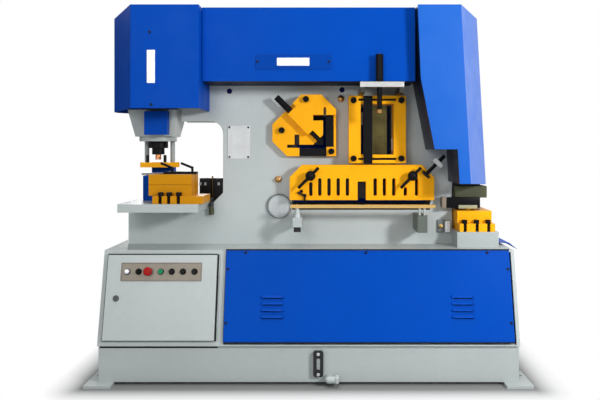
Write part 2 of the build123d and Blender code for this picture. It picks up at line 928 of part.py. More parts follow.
def make_gauge_bar():
    top = tool_z[1] + gauge_bar_height
    bar = block(gauge_bar_x, gauge_bar_y, (tool_z[1], top))
    middle = (gauge_bar_y[0] + gauge_bar_y[1]) / 2
    for x in gauge_rod_places:
        high = top + gauge_post_height
        bar += upright(x, middle, gauge_rod_r, (tool_z[1] + gauge_rod_r, high))
        arm = Pos(0, 0, gauge_arm_length / 2) * Cylinder(gauge_rod_r, gauge_arm_length)
        joint = Pos(x, middle, high - gauge_rod_r)
        bar += joint * Sphere(gauge_rod_r) + joint * Rot(0, gauge_arm_turn, 0) * arm
    return bar


def make_punch_table():
    table_x = (table_left, throat_x - throat_chamfer)
    table = block(table_x, (table_front_y, frame_rear), (jaw_z, table_top))
    return table - upright(punch_x, 0, slug_r, (jaw_z - overrun, table_top + overrun))


def make_switch_boxes():
    boxes = []
    for number in (0, 1):
        shift = number * switch_pitch
        box_x = (switch_x[0] + shift, switch_x[1] + shift)
        box = block(box_x, (frame_rear, frame_rear + switch_depth), switch_z)
        boxes.append(fillet(box.edges().filter_by(Axis.Z), switch_edge))
    return boxes


def rocker_outline():
    boss_low = pivot_z - rocker_boss_r / sqrt(2)
    return [(rocker_left, pivot_z), (pivot_x - rocker_boss_r / sqrt(2), boss_low),
            (rocker_bottom_x, boss_low), (rocker_bottom_x, rocker_bottom),
            (rocker_pad_x[1], rocker_bottom), (rocker_pad_x[1], rocker_tip_z[0]),
            (rocker_tip_x, rocker_tip_z[0]), (rocker_tip_x, rocker_tip_z[1]),
            (rocker_pad_x[1], rocker_pad_z), (rocker_pad_x[0], rocker_pad_z), (rocker_top_x[1], rocker_top),
            (rocker_top_x[0], rocker_top), (rocker_left, rocker_shoulder_z)]


def make_rocker():
    half = rocker_thickness / 2
    ys = (-half, half)
    cut_ys = (-half - overrun, half + overrun)
    rocker = along_y(rocker_outline(), ys)
    rocker -= across(pivot_x, pivot_z, pivot_r + running_gap, cut_ys)
    rocker -= block(angle_window_x, cut_ys, angle_window_z)
    rocker -= block(section_window_x, cut_ys, section_window_z)
    return rocker


def make_pivot_pin():
    pin = across(pivot_x, pivot_z, pivot_r, (frame_front, frame_rear))
    for face, side in ((frame_front, -1), (frame_rear, 1)):
        pin += across(pivot_x, pivot_z, pivot_cap_r, sorted((face, face + side * pivot_cap)))
    groove_y = (frame_front - pivot_cap - overrun, frame_front - pivot_cap / 2)
    ring = across(pivot_x, pivot_z, pivot_cap_r - pivot_groove, groove_y)
    ring -= across(pivot_x, pivot_z, pivot_cap_r - pivot_groove * 2, groove_y)
    return pin - ring


def make_shear_rod():
    dome_z = rocker_pad_z + seat_gap + shear_rod_r
    rod = upright(shear_x, 0, shear_rod_r, (dome_z, shear_piston_top))
    rod += Pos(shear_x, 0, dome_z) * Sphere(shear_rod_r)
    return rod + upright(shear_x, 0, shear_bore_r, (shear_piston_top - shear_piston_length, shear_piston_top))


def angle_outline():
    left, right = angle_x
    low, high = angle_z
    return [(left, low + angle_cut_corner), (left + angle_cut_corner, low), (right, low),
            (right, high - angle_cut_corner), (right - angle_cut_corner, high),
            (left + angle_corner, high), (left, high - angle_corner)]


def angle_aperture(ys):
    cut = block(angle_vertical_x, ys, angle_vertical_z)
    cut += block((angle_arm_x, angle_inner_x), ys, (angle_arm_z, angle_vertical_z[1]))
    cut += block(angle_horizontal_x, ys, (angle_z[0] - overrun, angle_inner_z))
    cut += block((angle_tail_x, angle_horizontal_x[0]), ys, (angle_tail_z, angle_inner_z))
    cut += block(angle_stub_x, ys, (angle_tail_z, angle_stub_top))
    return cut + angle_relief(ys)


def angle_relief(ys):
    middle = (angle_relief_x[0] + angle_relief_x[1]) / 2
    width = angle_relief_x[1] - angle_relief_x[0]
    return long_hole(middle, width, (angle_vertical_z[1] - width, angle_relief_top), ys)


def on_screw_line(reach, side):
    x, z = angle_screw_start
    return (x + (reach + side) / sqrt(2), z + (side - reach) / sqrt(2))


def make_angle_plate():
    plate = along_y(angle_outline(), (angle_face, frame_front))
    return plate - angle_aperture((angle_face - overrun, frame_front + overrun))


def make_angle_clamp_plate():
    left, right = angle_x
    high = angle_z[1]
    edge_from = (left - angle_screw_start[0] - high + angle_corner + angle_screw_start[1]) / sqrt(2)
    pad_side = angle_pad_r + seat_gap
    nose_z = angle_screw_start[1] + angle_inner_x - angle_screw_start[0] - angle_nose_from * sqrt(2)
    points = [(left + angle_corner, high), (right - angle_cut_corner, high), (right, high - angle_cut_corner),
              (right, angle_vertical_z[1]), (angle_arm_x, angle_vertical_z[1]), (angle_arm_x, angle_arm_z),
              (angle_inner_x, angle_arm_z), (angle_inner_x, nose_z), on_screw_line(angle_nose_from, pad_side),
              on_screw_line(angle_screw_out, pad_side), on_screw_line(angle_screw_out, -angle_clamp_edge),
              on_screw_line(angle_seat_from, -angle_clamp_edge),
              on_screw_line(angle_seat_from, angle_seat_side), on_screw_line(edge_from, angle_seat_side)]
    plate = along_y(points, (angle_front, angle_face))
    plate -= angle_relief((angle_front - overrun, angle_face + overrun))
    bore_r = angle_screw_r + running_gap
    return plate - slanted_rod(angle_screw_start, angle_line_y, 135, bore_r, 0, angle_nose_from)


def make_fixed_blades():
    ys = (angle_face, frame_front + plate_thickness / 2)
    outer_x = angle_vertical_x[1]
    upright_blade = block((outer_x - angle_blade_width, outer_x), ys, angle_vertical_z)
    flat_z = (angle_z[0], angle_z[0] + angle_blade_width)
    flat_blade = block((angle_horizontal_x[0], angle_horizontal_x[1]), ys, flat_z)
    blade_z = (shear_slot_z[0] - fixed_blade_height, shear_slot_z[0])
    lower_blade = block(fixed_blade_x, (frame_front, -plate_gap / 2), blade_z)
    return [upright_blade, flat_blade, lower_blade]


def make_angle_blade():
    half = rocker_thickness / 2
    return block((angle_window_x[0], angle_block_x), (-half, half), (angle_block_z, angle_window_z[1]))


def make_angle_screw():
    knob_end = angle_seat_from - seat_gap
    screw = slanted_rod(angle_screw_start, angle_line_y, 135, angle_knob_r, 0, knob_end)
    screw += slanted_rod(angle_screw_start, angle_line_y, 135, angle_screw_r, 0, angle_pad_end)
    pad_from = angle_screw_out + seat_gap
    return screw + slanted_rod(angle_screw_start, angle_line_y, 135, angle_pad_r, pad_from, angle_pad_end)


def cap_screw_places():
    inset = section_screw_inset
    places = [(angle_x[0] + angle_corner + inset, angle_z[1] - inset, angle_front),
              (angle_x[0] + inset * 2, (angle_z[0] + angle_z[1]) / 2 - inset, angle_face),
              (angle_x[1] - inset, angle_z[0] + inset, angle_face)]
    for x in (section_x[0] + inset, section_x[1] - inset):
        for z in (section_z[0] + inset, section_z[1] - inset):
            places.append((x, z, section_front))
    return places


def make_socket_screws():
    big = Rot(90, 0, 0) * socket_screw(cap_head_r, cap_head, cap_socket_r)
    screws = [Pos(x, y, z) * big for x, z, y in cap_screw_places()]
    for x in clamp_slot_places:
        screws.append(Pos(x, (clamp_front_y + tool_y[0]) / 2, tool_z[0]) * clamp_bolt(tool_z[0] - table_top))
    for x in notch_slot_places:
        place = Pos(x, (notch_bar_y[0] + notch_die_y[0]) / 2, notch_bar_top)
        screws.append(place * clamp_bolt(notch_bar_top - notch_table_top))
    return screws


def clamp_bolt(grip):
    shank = grip - seat_gap
    bolt = Pos(0, 0, -shank / 2) * Cylinder(clamp_shank_r, shank)
    return bolt + socket_screw(clamp_bolt_r, clamp_bolt_head, cap_socket_r)


def make_section_frame():
    ys = (section_front, frame_front)
    frame = block(section_x, ys, section_z)
    frame = chamfer(frame.edges().filter_by(Axis.Y), section_edge)
    frame -= block(section_window_x, (ys[0] - overrun, ys[1] + overrun), section_window_z)
    slot_x = (section_x[0] + section_slot_inset, section_x[1] - section_slot_inset)
    for z in ((section_z[0] + section_window_z[0]) / 2, (section_z[1] + section_window_z[1]) / 2):
        half = section_slot_height / 2
        frame -= block(slot_x, (ys[0] - overrun, ys[0] + section_slot_depth), (z - half, z + half))
    return frame


def make_guide_bar():
    ys = (section_front - guide_bar_depth - seat_gap, section_front - seat_gap)
    bar = block(guide_bar_x, ys, (section_z[0], section_z[1] - guide_bar_inset))
    middle = (guide_bar_x[0] + guide_bar_x[1]) / 2
    for z in ((section_z[0] + section_window_z[0]) / 2, (section_z[1] + section_window_z[1]) / 2):
        half = section_slot_height / 2 - seat_gap
        bar += block((middle - guide_stem_r, middle + guide_stem_r),
                     (ys[1], section_front + section_slot_depth - seat_gap), (z - half, z + half))
    return bar


def make_section_blade():
    half = rocker_thickness / 2
    return block(section_blade_x, (-half, half), section_window_z)


def make_crossbar():
    bar = block(crossbar_x, crossbar_y, crossbar_z)
    for x in (crossbar_x[0], crossbar_x[1] - crossbar_leg):
        leg_y = (crossbar_y[0], section_front + crossbar_foot)
        bar += block((x, x + crossbar_leg), leg_y, (section_z[1], crossbar_z[0]))
    middle = (crossbar_y[0] + crossbar_y[1]) / 2
    through = (crossbar_z[0] - overrun, crossbar_z[1] + overrun)
    return bar - upright(spindle_x, middle, spindle_r + running_gap, through)


def make_section_screw():
    y = (crossbar_y[0] + crossbar_y[1]) / 2
    screw = upright(spindle_x, y, spindle_r, (spindle_bottom, spindle_grip_z[0]))
    screw += upright(spindle_x, y, spindle_grip_r, spindle_grip_z)
    return screw + upright(spindle_x, y, spindle_foot_r, (spindle_bottom - spindle_foot, spindle_bottom))


def make_hold_down_plate():
    left, right = flat_x
    low, high = flat_z
    points = [(left, low), (right, low), (right, high - flat_chamfer), (right - flat_chamfer, high),
              (left + flat_chamfer, high), (left, high - flat_chamfer)]
    rear = flat_front + flat_plate
    plate = along_y(points, (flat_front, rear))
    cut = (flat_front - overrun, rear + overrun)
    for number, x in enumerate(flat_left_slots):
        top = flat_short_left if number == 0 else flat_slot_z[1]
        plate -= long_hole(x, flat_slot_width, (flat_slot_z[0], top), cut)
    for number, x in enumerate(flat_right_slots):
        top = flat_short_right if number == len(flat_right_slots) - 2 else flat_slot_z[1]
        plate -= long_hole(x, flat_slot_width, (flat_slot_z[0], top), cut)
    plate -= block(flat_window_x, cut, (low - overrun, flat_window_top))
    for x in (left, right - flat_pad_width):
        pad_x = (x, x + flat_pad_width)
        plate += block(pad_x, (rear, frame_front), (low + flat_chamfer, high - flat_chamfer))
    for x in (hold_left_x, hold_right_x):
        plate -= across(x, hold_screw_z, hold_stem_r + running_gap, cut)
    plate += corner_nut()
    return plate - slanted_rod(corner_screw_start, corner_line_y, 45, corner_screw_r + running_gap,
                               -overrun, corner_screw_length)


def on_corner_line(shape):
    return Pos(corner_screw_start[0], corner_line_y, corner_screw_start[1]) * Rot(0, 45, 0) * shape


def corner_nut():
    width, depth, length = corner_nut_size
    nut = Box(width, depth, length)
    return on_corner_line(Pos(0, corner_stand - depth / 2, corner_nut_from + length / 2) * nut)


def make_hold_screw(x):
    ball_y = flat_front - hold_stand - hold_ball_r
    screw = across(x, hold_screw_z, hold_stem_r, (ball_y, flat_front + flat_plate))
    screw += Pos(x, ball_y, hold_screw_z) * Sphere(hold_ball_r)
    bar = Cylinder(hold_bar_r, hold_bar_short + hold_bar_long)
    bar = Pos(0, 0, (hold_bar_short - hold_bar_long) / 2) * bar
    return screw + Pos(x, ball_y, hold_screw_z) * Rot(0, 45, 0) * bar


def make_corner_screw():
    screw = slanted_rod(corner_screw_start, corner_line_y, 45, corner_screw_r, 0, corner_screw_length)
    width, depth, length = corner_knob_size
    return screw + on_corner_line(Pos(0, 0, corner_knob_from + length / 2) * Box(width, depth, length))


def make_flat_blade():
    half = rocker_thickness / 2
    return block(fixed_blade_x, (-half, moving_blade_depth - half), moving_blade_z)


def make_table_bar():
    return block(bar_x, bar_y, bar_z)


def make_left_bracket():
    ys = (bracket_front_y, frame_front)
    bracket = block(left_bracket_x, ys, left_bracket_z)
    middle_x = (left_bracket_x[0] + left_bracket_x[1]) / 2
    middle_y = (bar_y[0] + bar_y[1]) / 2
    low, high = left_bracket_z[1], bar_z[0]
    bracket += Pos(middle_x, middle_y, (low + high) / 2) * Cone(left_cone_r[0], left_cone_r[1], high - low)
    foot_x = (left_bracket_x[0] + left_foot_inset, left_bracket_x[1] - left_foot_inset)
    foot_y = (bracket_front_y + left_foot_inset, bracket_front_y + left_foot_inset + left_foot_height)
    return bracket + block(foot_x, foot_y, (left_bracket_z[0] - left_foot_height, left_bracket_z[0]))


def make_side_brackets():
    right = block(right_bracket_x, (bracket_front_y, frame_front), right_bracket_z)
    middle_y = (bar_y[0] + bar_y[1]) / 2
    for x in right_post_places:
        right += upright(x, middle_y, right_post_r, (right_bracket_z[1], bar_z[0]))
    return [make_left_bracket(), right]


def make_lever():
    ys = (flat_front - seat_gap - lever_thickness, flat_front - seat_gap)
    middle_y = (ys[0] + ys[1]) / 2
    lever = across(lever_x, lever_z, lever_r, ys)
    arm = Pos(0, 0, lever_arm / 2) * Box(lever_width, lever_thickness, lever_arm)
    lever += Pos(lever_x, middle_y, lever_z) * Rot(0, lever_turn, 0) * arm
    half = lever_width / 2
    lever += block((lever_x - half, lever_x + half), ys, (lever_z - lever_drop, lever_z))
    knob_x = lever_x + lever_knob_place[0]
    return lever + across(knob_x, lever_z + lever_knob_place[1], lever_knob_r, ys)


def make_notch_table():
    return block(notch_table_x, notch_table_y, (base_top, notch_table_top))


def make_notch_die():
    bar = block(notch_bar_x, notch_bar_y, (notch_table_top, notch_bar_top))
    slot_z = (notch_table_top - overrun, notch_bar_top + overrun)
    bar -= front_slots(notch_slot_places, notch_slot_width, notch_bar_y[0], notch_slot_depth / 2, slot_z)
    die = block(notch_die_x, notch_die_y, (notch_bar_top, notch_die_top))
    die -= block(notch_pocket_x, notch_pocket_y, (notch_bar_top - overrun, notch_die_top + overrun))
    return [bar, die]


def make_notch_ram():
    ram = block(notch_ram_x, notch_ram_y, notch_ram_z)
    return fillet(ram.edges().filter_by(Axis.Z), notch_ram_corner)


def make_notch_punch():
    return block(notch_punch_x, notch_punch_y, (notch_punch_bottom, notch_ram_z[0]))


def make_scrap_chute():
    low = chute_top - chute_drop
    bend_x = chute_x[1] - chute_lip
    bend_z = chute_top - chute_bend
    outer = [(chute_x[0], chute_top), (bend_x, bend_z), (chute_x[1], low), (chute_x[1] - chute_wall, low),
             (bend_x - chute_wall, bend_z - chute_wall), (chute_x[0], chute_top - chute_wall)]
    return along_y(outer, chute_y)


def save(name, solids):
    shape = solids
    if isinstance(solids, list):
        shape = Compound(children=[Part(solid.wrapped) for solid in solids])
    shape.label = name
    export_step(shape, os.path.join("parts", name + ".step"))


def main():
    os.makedirs("parts", exist_ok=True)
    save("base_frame", make_base())
    save("front_plate", make_front_plate())
    save("rear_plate", make_rear_plate())
    save("punch_hood", make_punch_hood())
    save("beam_cover", make_beam_cover())
    save("shear_hood", make_shear_hood())
    save("cover_screws", make_cover_screws())
    save("cylinders", make_cylinders())
    save("punch_ram", make_punch_ram())
    save("ram_guide", make_ram_guide())
    save("ram_cover", make_ram_cover())
    save("punch_holder", make_punch_holder())
    save("punch", make_punch())
    save("stripper", make_stripper())
    save("bolster", make_bolster())
    save("die", make_die())
    save("tool_block", make_tool_block())
    save("gauge_bar", make_gauge_bar())
    save("punch_table", make_punch_table())
    save("switch_boxes", make_switch_boxes())
    save("rocker", make_rocker())
    save("pivot_pin", make_pivot_pin())
    save("shear_rod", make_shear_rod())
    save("angle_plate", make_angle_plate())
    save("angle_clamp_plate", make_angle_clamp_plate())
    save("fixed_blades", make_fixed_blades())
    save("angle_blade", make_angle_blade())
    save("angle_screw", make_angle_screw())
    save("socket_screws", make_socket_screws())
    save("section_frame", make_section_frame())
    save("section_guide_bar", make_guide_bar())
    save("section_blade", make_section_blade())
    save("section_crossbar", make_crossbar())
    save("section_screw", make_section_screw())
    save("hold_down_plate", make_hold_down_plate())
    save("left_hold_screw", make_hold_screw(hold_left_x))
    save("right_hold_screw", make_hold_screw(hold_right_x))
    save("corner_screw", make_corner_screw())
    save("flat_blade", make_flat_blade())
    save("table_bar", make_table_bar())
    save("side_brackets", make_side_brackets())
    save("gauge_lever", make_lever())
    save("notch_table", make_notch_table())
    save("notch_die", make_notch_die())
    save("notch_ram", make_notch_ram())
    save("notch_punch", make_notch_punch())
    save("scrap_chute", make_scrap_chute())
    save("door", make_door())
    save("door_lock", make_lock())
    save("control_plate", make_control_plate())
    save("signal_lamp", make_lamp())
    save("left_selector", make_selector(left_selector_x))
    save("right_selector", make_selector(right_selector_x))
    save("stop_button", make_mushroom())
    save("start_button", make_button(start_x))
    save("punch_button", make_button(punch_button_x))
    save("shear_button", make_button(shear_button_x))
    save("front_panel", make_front_panel())
    save("oil_gauge", make_oil_gauge())
    save("pump_motor", make_motor())


main()
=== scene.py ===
import json
import math

import bmesh
import bpy
from bpy.props import FloatProperty, FloatVectorProperty, PointerProperty
from mathutils import Matrix, Vector


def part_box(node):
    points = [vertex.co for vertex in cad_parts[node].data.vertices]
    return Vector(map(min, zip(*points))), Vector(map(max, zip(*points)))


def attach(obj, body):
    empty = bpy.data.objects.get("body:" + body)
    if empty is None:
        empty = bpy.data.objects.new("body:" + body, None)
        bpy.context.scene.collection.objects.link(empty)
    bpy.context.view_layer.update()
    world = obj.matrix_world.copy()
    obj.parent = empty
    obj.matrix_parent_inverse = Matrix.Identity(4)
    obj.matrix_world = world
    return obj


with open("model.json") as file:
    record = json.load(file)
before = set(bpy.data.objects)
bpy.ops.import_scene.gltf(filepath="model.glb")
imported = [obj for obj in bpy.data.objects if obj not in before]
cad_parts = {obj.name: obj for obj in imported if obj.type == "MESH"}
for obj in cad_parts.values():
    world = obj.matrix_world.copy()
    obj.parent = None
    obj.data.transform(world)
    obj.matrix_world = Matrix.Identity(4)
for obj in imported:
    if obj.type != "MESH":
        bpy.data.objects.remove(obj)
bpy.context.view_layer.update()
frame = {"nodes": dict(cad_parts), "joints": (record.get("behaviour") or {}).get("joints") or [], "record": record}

bl_info = {
    "name": "Ironworker looks",
    "version": (1, 0, 0),
    "blender": (4, 5, 0),
    "location": "View3D > Sidebar > Ironworker",
    "description": "Finishes, trim and stage for the ironworker machine",
    "category": "Object",
}

NODES = frame["nodes"]
SLOT_OF_NODE = {row["node"]: row["material_slot"] for row in frame["record"]["subparts"]}
JOINTS = {joint["name"]: joint for joint in frame["joints"]}

# Directions of the row frame
RIGHT = Vector((1, 0, 0))
LEFT = Vector((-1, 0, 0))
UP = Vector((0, 0, 1))
DOWN = Vector((0, 0, -1))
NO_TURN = Matrix.Identity(4)

# The sloped front: up the slope, and straight out of it
SLOPE_UP = Vector(JOINTS["door_swing"]["axis"])
SLOPE_OUT = RIGHT.cross(SLOPE_UP)
SLOPE_TURN = Matrix((RIGHT, SLOPE_UP, SLOPE_OUT)).transposed().to_4x4()

# The front faces: local X to the right, local Y up, local Z towards the operator
FRONT_TURN = Matrix(((1, 0, 0), (0, 0, -1), (0, 1, 0))).to_4x4()

# Kinds of group sockets, and ranges that the shaders share
FLOAT, COLOUR, VECTOR = "NodeSocketFloat", "NodeSocketColor", "NodeSocketVector"
FULL = (0.0, 1.0)
NOISE_BAND = (0.3, 0.7)
LINE_BAND = (0.25, 0.75)
LINE_SHADE = (0.86, 1.10)

# Sprayed enamels
BLUE_COAT = dict(gloss=0.42, drift=0.04, dust=0.04, wear=0.25, under=(0.05, 0.12, 0.45), coat=0.0,
                 mirror=0.04)
HOOD_COAT = dict(BLUE_COAT, mirror=0.26)
GREY_COAT = dict(gloss=0.40, drift=0.03, wear=0.25, under=(0.28, 0.30, 0.31), coat=0.1)
BRACKET_COAT = dict(gloss=0.34, drift=0.05, dust=0.18, wear=0.30, under=(0.25, 0.26, 0.27), coat=0.1)
YELLOW_COAT = dict(gloss=0.38, drift=0.05, dust=0.10, under=(0.20, 0.15, 0.08), coat=0.0, mirror=0.12)
BLOCK_COAT = dict(YELLOW_COAT, gloss=0.40, mirror=0.10)
KHAKI_COAT = dict(gloss=0.5, drift=0.12, dust=0.2, under=(0.12, 0.11, 0.09), coat=0.0)
DUST = (0.42, 0.40, 0.37)
RUBBED_STEEL = (0.26, 0.26, 0.27)

# Tints of single nodes. Several are painted light or painted shade: lighter or darker copies of the paints, or
# tints for the faces on one side, as said at each
# Painted light: a lighter copy of the frame grey, for the front plate
FRONT_GREY_PAINTED_LIGHT = (0.46, 0.505, 0.505)
BRACKET_DARK = (0.10, 0.115, 0.10)
# Painted shade on the section crossbar's legs, under the bar
CROSSBAR_LEGS_PAINTED_SHADE = (0.05, 0.05, 0.045)
# Shear hood: a lighter copy of the cover blue as painted light, painted shade for its left faces, painted light
# for its right faces
HOOD_BLUE_PAINTED_LIGHT = (0.0, 0.095, 0.47)
HOOD_LEFT_PAINTED_SHADE = (0.0, 0.004, 0.02)
HOOD_RIGHT_PAINTED_LIGHT = (0.06, 0.17, 0.60)
# Painted shade on the undersides of the beam cover and the punch hood
BEAM_UNDERSIDE_PAINTED_SHADE = (0.0, 0.003, 0.02)
# Painted shade: a darker copy of the tool yellow, for the tool block under the punch hood
BLOCK_YELLOW_PAINTED_SHADE = (0.52, 0.22, 0.002)
FOOT_BRASS = (0.30, 0.18, 0.06)

# Turned trim, as (radius, height) points. The rivet's are shares of its radius.
PLUG = [(0.0135, 0.0), (0.0135, 0.002), (0.0118, 0.003), (0.008, 0.0026), (0.0005, 0.0026)]
GREASE_FITTING = [(0.0175, 0.0), (0.0175, 0.006), (0.0150, 0.008), (0.0100, 0.009), (0.0100, 0.016),
                  (0.0112, 0.018), (0.0105, 0.021), (0.0052, 0.024), (0.0004, 0.0245)]
LUBE_FITTING = [(0.011, 0.0), (0.011, 0.006), (0.008, 0.007), (0.008, 0.013), (0.0035, 0.017),
                (0.0004, 0.0175)]
GLAND_BODY = [(0.013, 0.0), (0.013, 0.034), (0.011, 0.036), (0.011, 0.044)]
GLAND_TIP = [(0.0122, 0.0), (0.0122, 0.012), (0.008, 0.017), (0.0045, 0.017)]
GLAND_TUBE = [(0.0045, 0.0), (0.0045, 0.170)]
LOUVRE_END = [(0.0066, 0.0), (0.0064, 0.002), (0.0058, 0.0038), (0.0047, 0.0056), (0.0030, 0.0069),
              (0.0004, 0.0075)]
RIVET = [(1.0, 0.0), (0.9, 0.4), (0.5, 0.7), (0.05, 0.8)]
GAUGE_SCREW = [(0.0078, 0.0), (0.0078, 0.003), (0.0066, 0.0044), (0.0003, 0.0048)]

CONTROLS = ("signal_lamp", "left_selector", "stop_button", "start_button", "right_selector", "punch_button",
            "shear_button")
BRIGHT_CONTROLS = ("signal_lamp", "start_button")

# Lamps: name, place, size and power, all aimed at one point
LAMPS = (("key_light", (2.4, -2.6, 1.85), 0.5, 84.0), ("fill_light", (-1.5, -4.7, 2.35), 2.0, 54.0),
         ("top_light", (0.2, -0.9, 4.6), 3.0, 120.0), ("back_light", (-1.4, 4.6, 2.6), 2.6, 110.0))
LAMP_AIM = Vector((0.0, 0.0, 0.9))
ROOM_TINT = (0.96, 0.98, 1.0)
ROOM_STRENGTH = 0.29


def colour(name, text, default):
    return FloatVectorProperty(name=name, description=text, subtype="COLOR", size=3, min=0, max=1,
                               default=default)


def length(name, text, default):
    return FloatProperty(name=name, description=text, unit="LENGTH", default=default)


class IronworkerColours(bpy.types.PropertyGroup):
    """Colours of the paints and plastics."""
    blue: colour("Cover blue", "Enamel of the hoods and the front panel", (0.0, 0.056, 0.38))
    grey: colour("Frame grey", "Enamel of the frame and base", (0.405, 0.447, 0.44))
    yellow: colour("Tool yellow", "Enamel of the tooling", (0.94, 0.415, 0.004))
    black: colour("Blackened steel", "Oiled black tooling and screws", (0.005, 0.005, 0.006))
    steel: colour("Machined steel", "Bare turned and milled faces", (0.58, 0.58, 0.58))
    rocker: colour("Rocker steel", "Oiled plate of the rocker", (0.10, 0.10, 0.10))
    brass: colour("Brass", "Table bar and lubrication fitting", (0.68, 0.45, 0.16))
    copper: colour("Copper", "Coated punch", (0.72, 0.30, 0.13))
    olive: colour("Olive blade", "Section blade", (0.20, 0.18, 0.055))
    khaki: colour("Khaki primer", "Notch ram", (0.050, 0.056, 0.024))
    plastic: colour("Box plastic", "Switch boxes and gauge", (0.016, 0.017, 0.02))
    bronze: colour("Control plate", "Anodised control plate", (0.195, 0.17, 0.135))
    white: colour("White strip", "Blank insert strips", (0.86, 0.88, 0.90))
    red: colour("Stop red", "Stop mushroom", (0.30, 0.003, 0.004))
    green: colour("Start green", "Start button", (0.0, 0.20, 0.075))
    motor: colour("Motor paint", "Pump motor", (0.16, 0.20, 0.25))


class IronworkerSizes(bpy.types.PropertyGroup):
    """Sizes of the trim added around the solids."""
    bezel_radius: length("Bezel radius", "Outer radius of a control's bezel", 0.0150)
    bezel_height: length("Bezel height", "Stand of a control's bezel", 0.0055)
    strip_thickness: length("Strip thickness", "Thickness of the white insert strips", 0.003)
    rivet_radius: length("Rivet radius", "Rivets of the bare plate", 0.0052)
    spring_wire: length("Spring wire", "Wire radius of the section springs", 0.0017)
    wear_radius: length("Edge radius", "Radius of rounded and rubbed edges", 0.0025)


class IronworkerCamera(bpy.types.PropertyGroup):
    """Place and lens of the camera."""
    place: FloatVectorProperty(name="Camera place", description="Eye point of the view", subtype="XYZ",
                               size=3, unit="LENGTH", default=(0.085, -3.28, 1.095))
    lens: FloatProperty(name="Lens", description="Focal length in millimetres", default=37.5)
    shift_x: FloatProperty(name="Shift across", description="Sideways shift of the lens", default=-0.045)
    shift_y: FloatProperty(name="Shift up", description="Upward shift of the lens", default=-0.083)


def sizes():
    return bpy.context.scene.ironworker_sizes


def colours():
    return bpy.context.scene.ironworker_colours


# Shader helpers
def add(tree, kind, **values):
    made = tree.nodes.new(kind)
    for key, value in values.items():
        setattr(made, key, value)
    return made


def feed(tree, value, socket):
    """Links an output to a socket, or sets the socket's own value."""
    if isinstance(value, bpy.types.NodeSocket):
        tree.links.new(value, socket)
    else:
        socket.default_value = value


def source_of(socket):
    return socket.links[0].from_socket if socket.links else socket.default_value


def solid(values):
    return (*values, 1.0)


def new_group(name, inputs, outputs):
    group = bpy.data.node_groups.new(name, "ShaderNodeTree")
    for label, kind, default in inputs:
        socket = group.interface.new_socket(name=label, in_out="INPUT", socket_type=kind)
        socket.default_value = default
    for label, kind in outputs:
        group.interface.new_socket(name=label, in_out="OUTPUT", socket_type=kind)
    return group, add(group, "NodeGroupInput").outputs, add(group, "NodeGroupOutput").inputs


def object_point(tree):
    return add(tree, "ShaderNodeTexCoord").outputs["Object"]


def noise(tree, where, scale, detail=3.0, roughness=0.55):
    made = add(tree, "ShaderNodeTexNoise")
    for key, value in (("Vector", where), ("Scale", scale), ("Detail", detail), ("Roughness", roughness)):
        feed(tree, value, made.inputs[key])
    return made.outputs["Fac"]


def spread(tree, value, source, target):
    """A value carried from one range to another, and held at its ends."""
    made = add(tree, "ShaderNodeMapRange")
    keys = ("Value", "From Min", "From Max", "To Min", "To Max")
    for key, number in zip(keys, (value, *source, *target)):
        feed(tree, number, made.inputs[key])
    return made.outputs["Result"]


def maths(tree, operation, *values):
    made = add(tree, "ShaderNodeMath", operation=operation)
    for socket, value in zip(made.inputs, values):
        feed(tree, value, socket)
    return made.outputs[0]


def chain(tree, operation, first, *others):
    """The values taken together one after another."""
    for value in others:
        first = maths(tree, operation, first, value)
    return first


def product(tree, *values):
    return chain(tree, "MULTIPLY", *values)


def total(tree, *values):
    return chain(tree, "ADD", *values)


def vector(tree, operation, *values):
    made = add(tree, "ShaderNodeVectorMath", operation=operation)
    for socket, value in zip(made.inputs, values):
        feed(tree, value, socket)
    return made.outputs["Value" if operation in ("DOT_PRODUCT", "LENGTH") else "Vector"]


def axis_parts(tree, value):
    made = add(tree, "ShaderNodeSeparateXYZ")
    feed(tree, value, made.inputs[0])
    return made.outputs


def mix_colour(tree, factor, first, second, blend="MIX"):
    made = add(tree, "ShaderNodeMix", data_type="RGBA", blend_type=blend)
    factor_socket, first_socket, second_socket, result = 0, 6, 7, 2
    feed(tree, factor, made.inputs[factor_socket])
    feed(tree, first, made.inputs[first_socket])
    feed(tree, second, made.inputs[second_socket])
    return made.outputs[result]


def grey_level(tree, level):
    made = add(tree, "ShaderNodeCombineColor")
    for socket in made.inputs[:3]:
        feed(tree, level, socket)
    return made.outputs[0]


def toned(tree, tint, level):
    """A tint times a grey level."""
    return mix_colour(tree, 1.0, tint, grey_level(tree, level), "MULTIPLY")


def edge_wear_group():
    """Rounded edge normal, and a broken mask along the edges."""
    group, into, out = new_group("edge_wear", [("Radius", FLOAT, 0.002), ("Amount", FLOAT, 0.5)],
                                 [("Mask", FLOAT), ("Normal", VECTOR)])
    bevel = add(group, "ShaderNodeBevel", samples=6)
    feed(group, into["Radius"], bevel.inputs["Radius"])
    normal = bevel.outputs["Normal"]
    face = add(group, "ShaderNodeNewGeometry").outputs["Normal"]
    edge = spread(group, vector(group, "DOT_PRODUCT", normal, face), (0.995, 0.80), FULL)
    chips = spread(group, noise(group, object_point(group), scale=38, detail=5), (0.50, 0.62), FULL)
    feed(group, product(group, edge, chips, into["Amount"]), out["Mask"])
    feed(group, normal, out["Normal"])
    return group


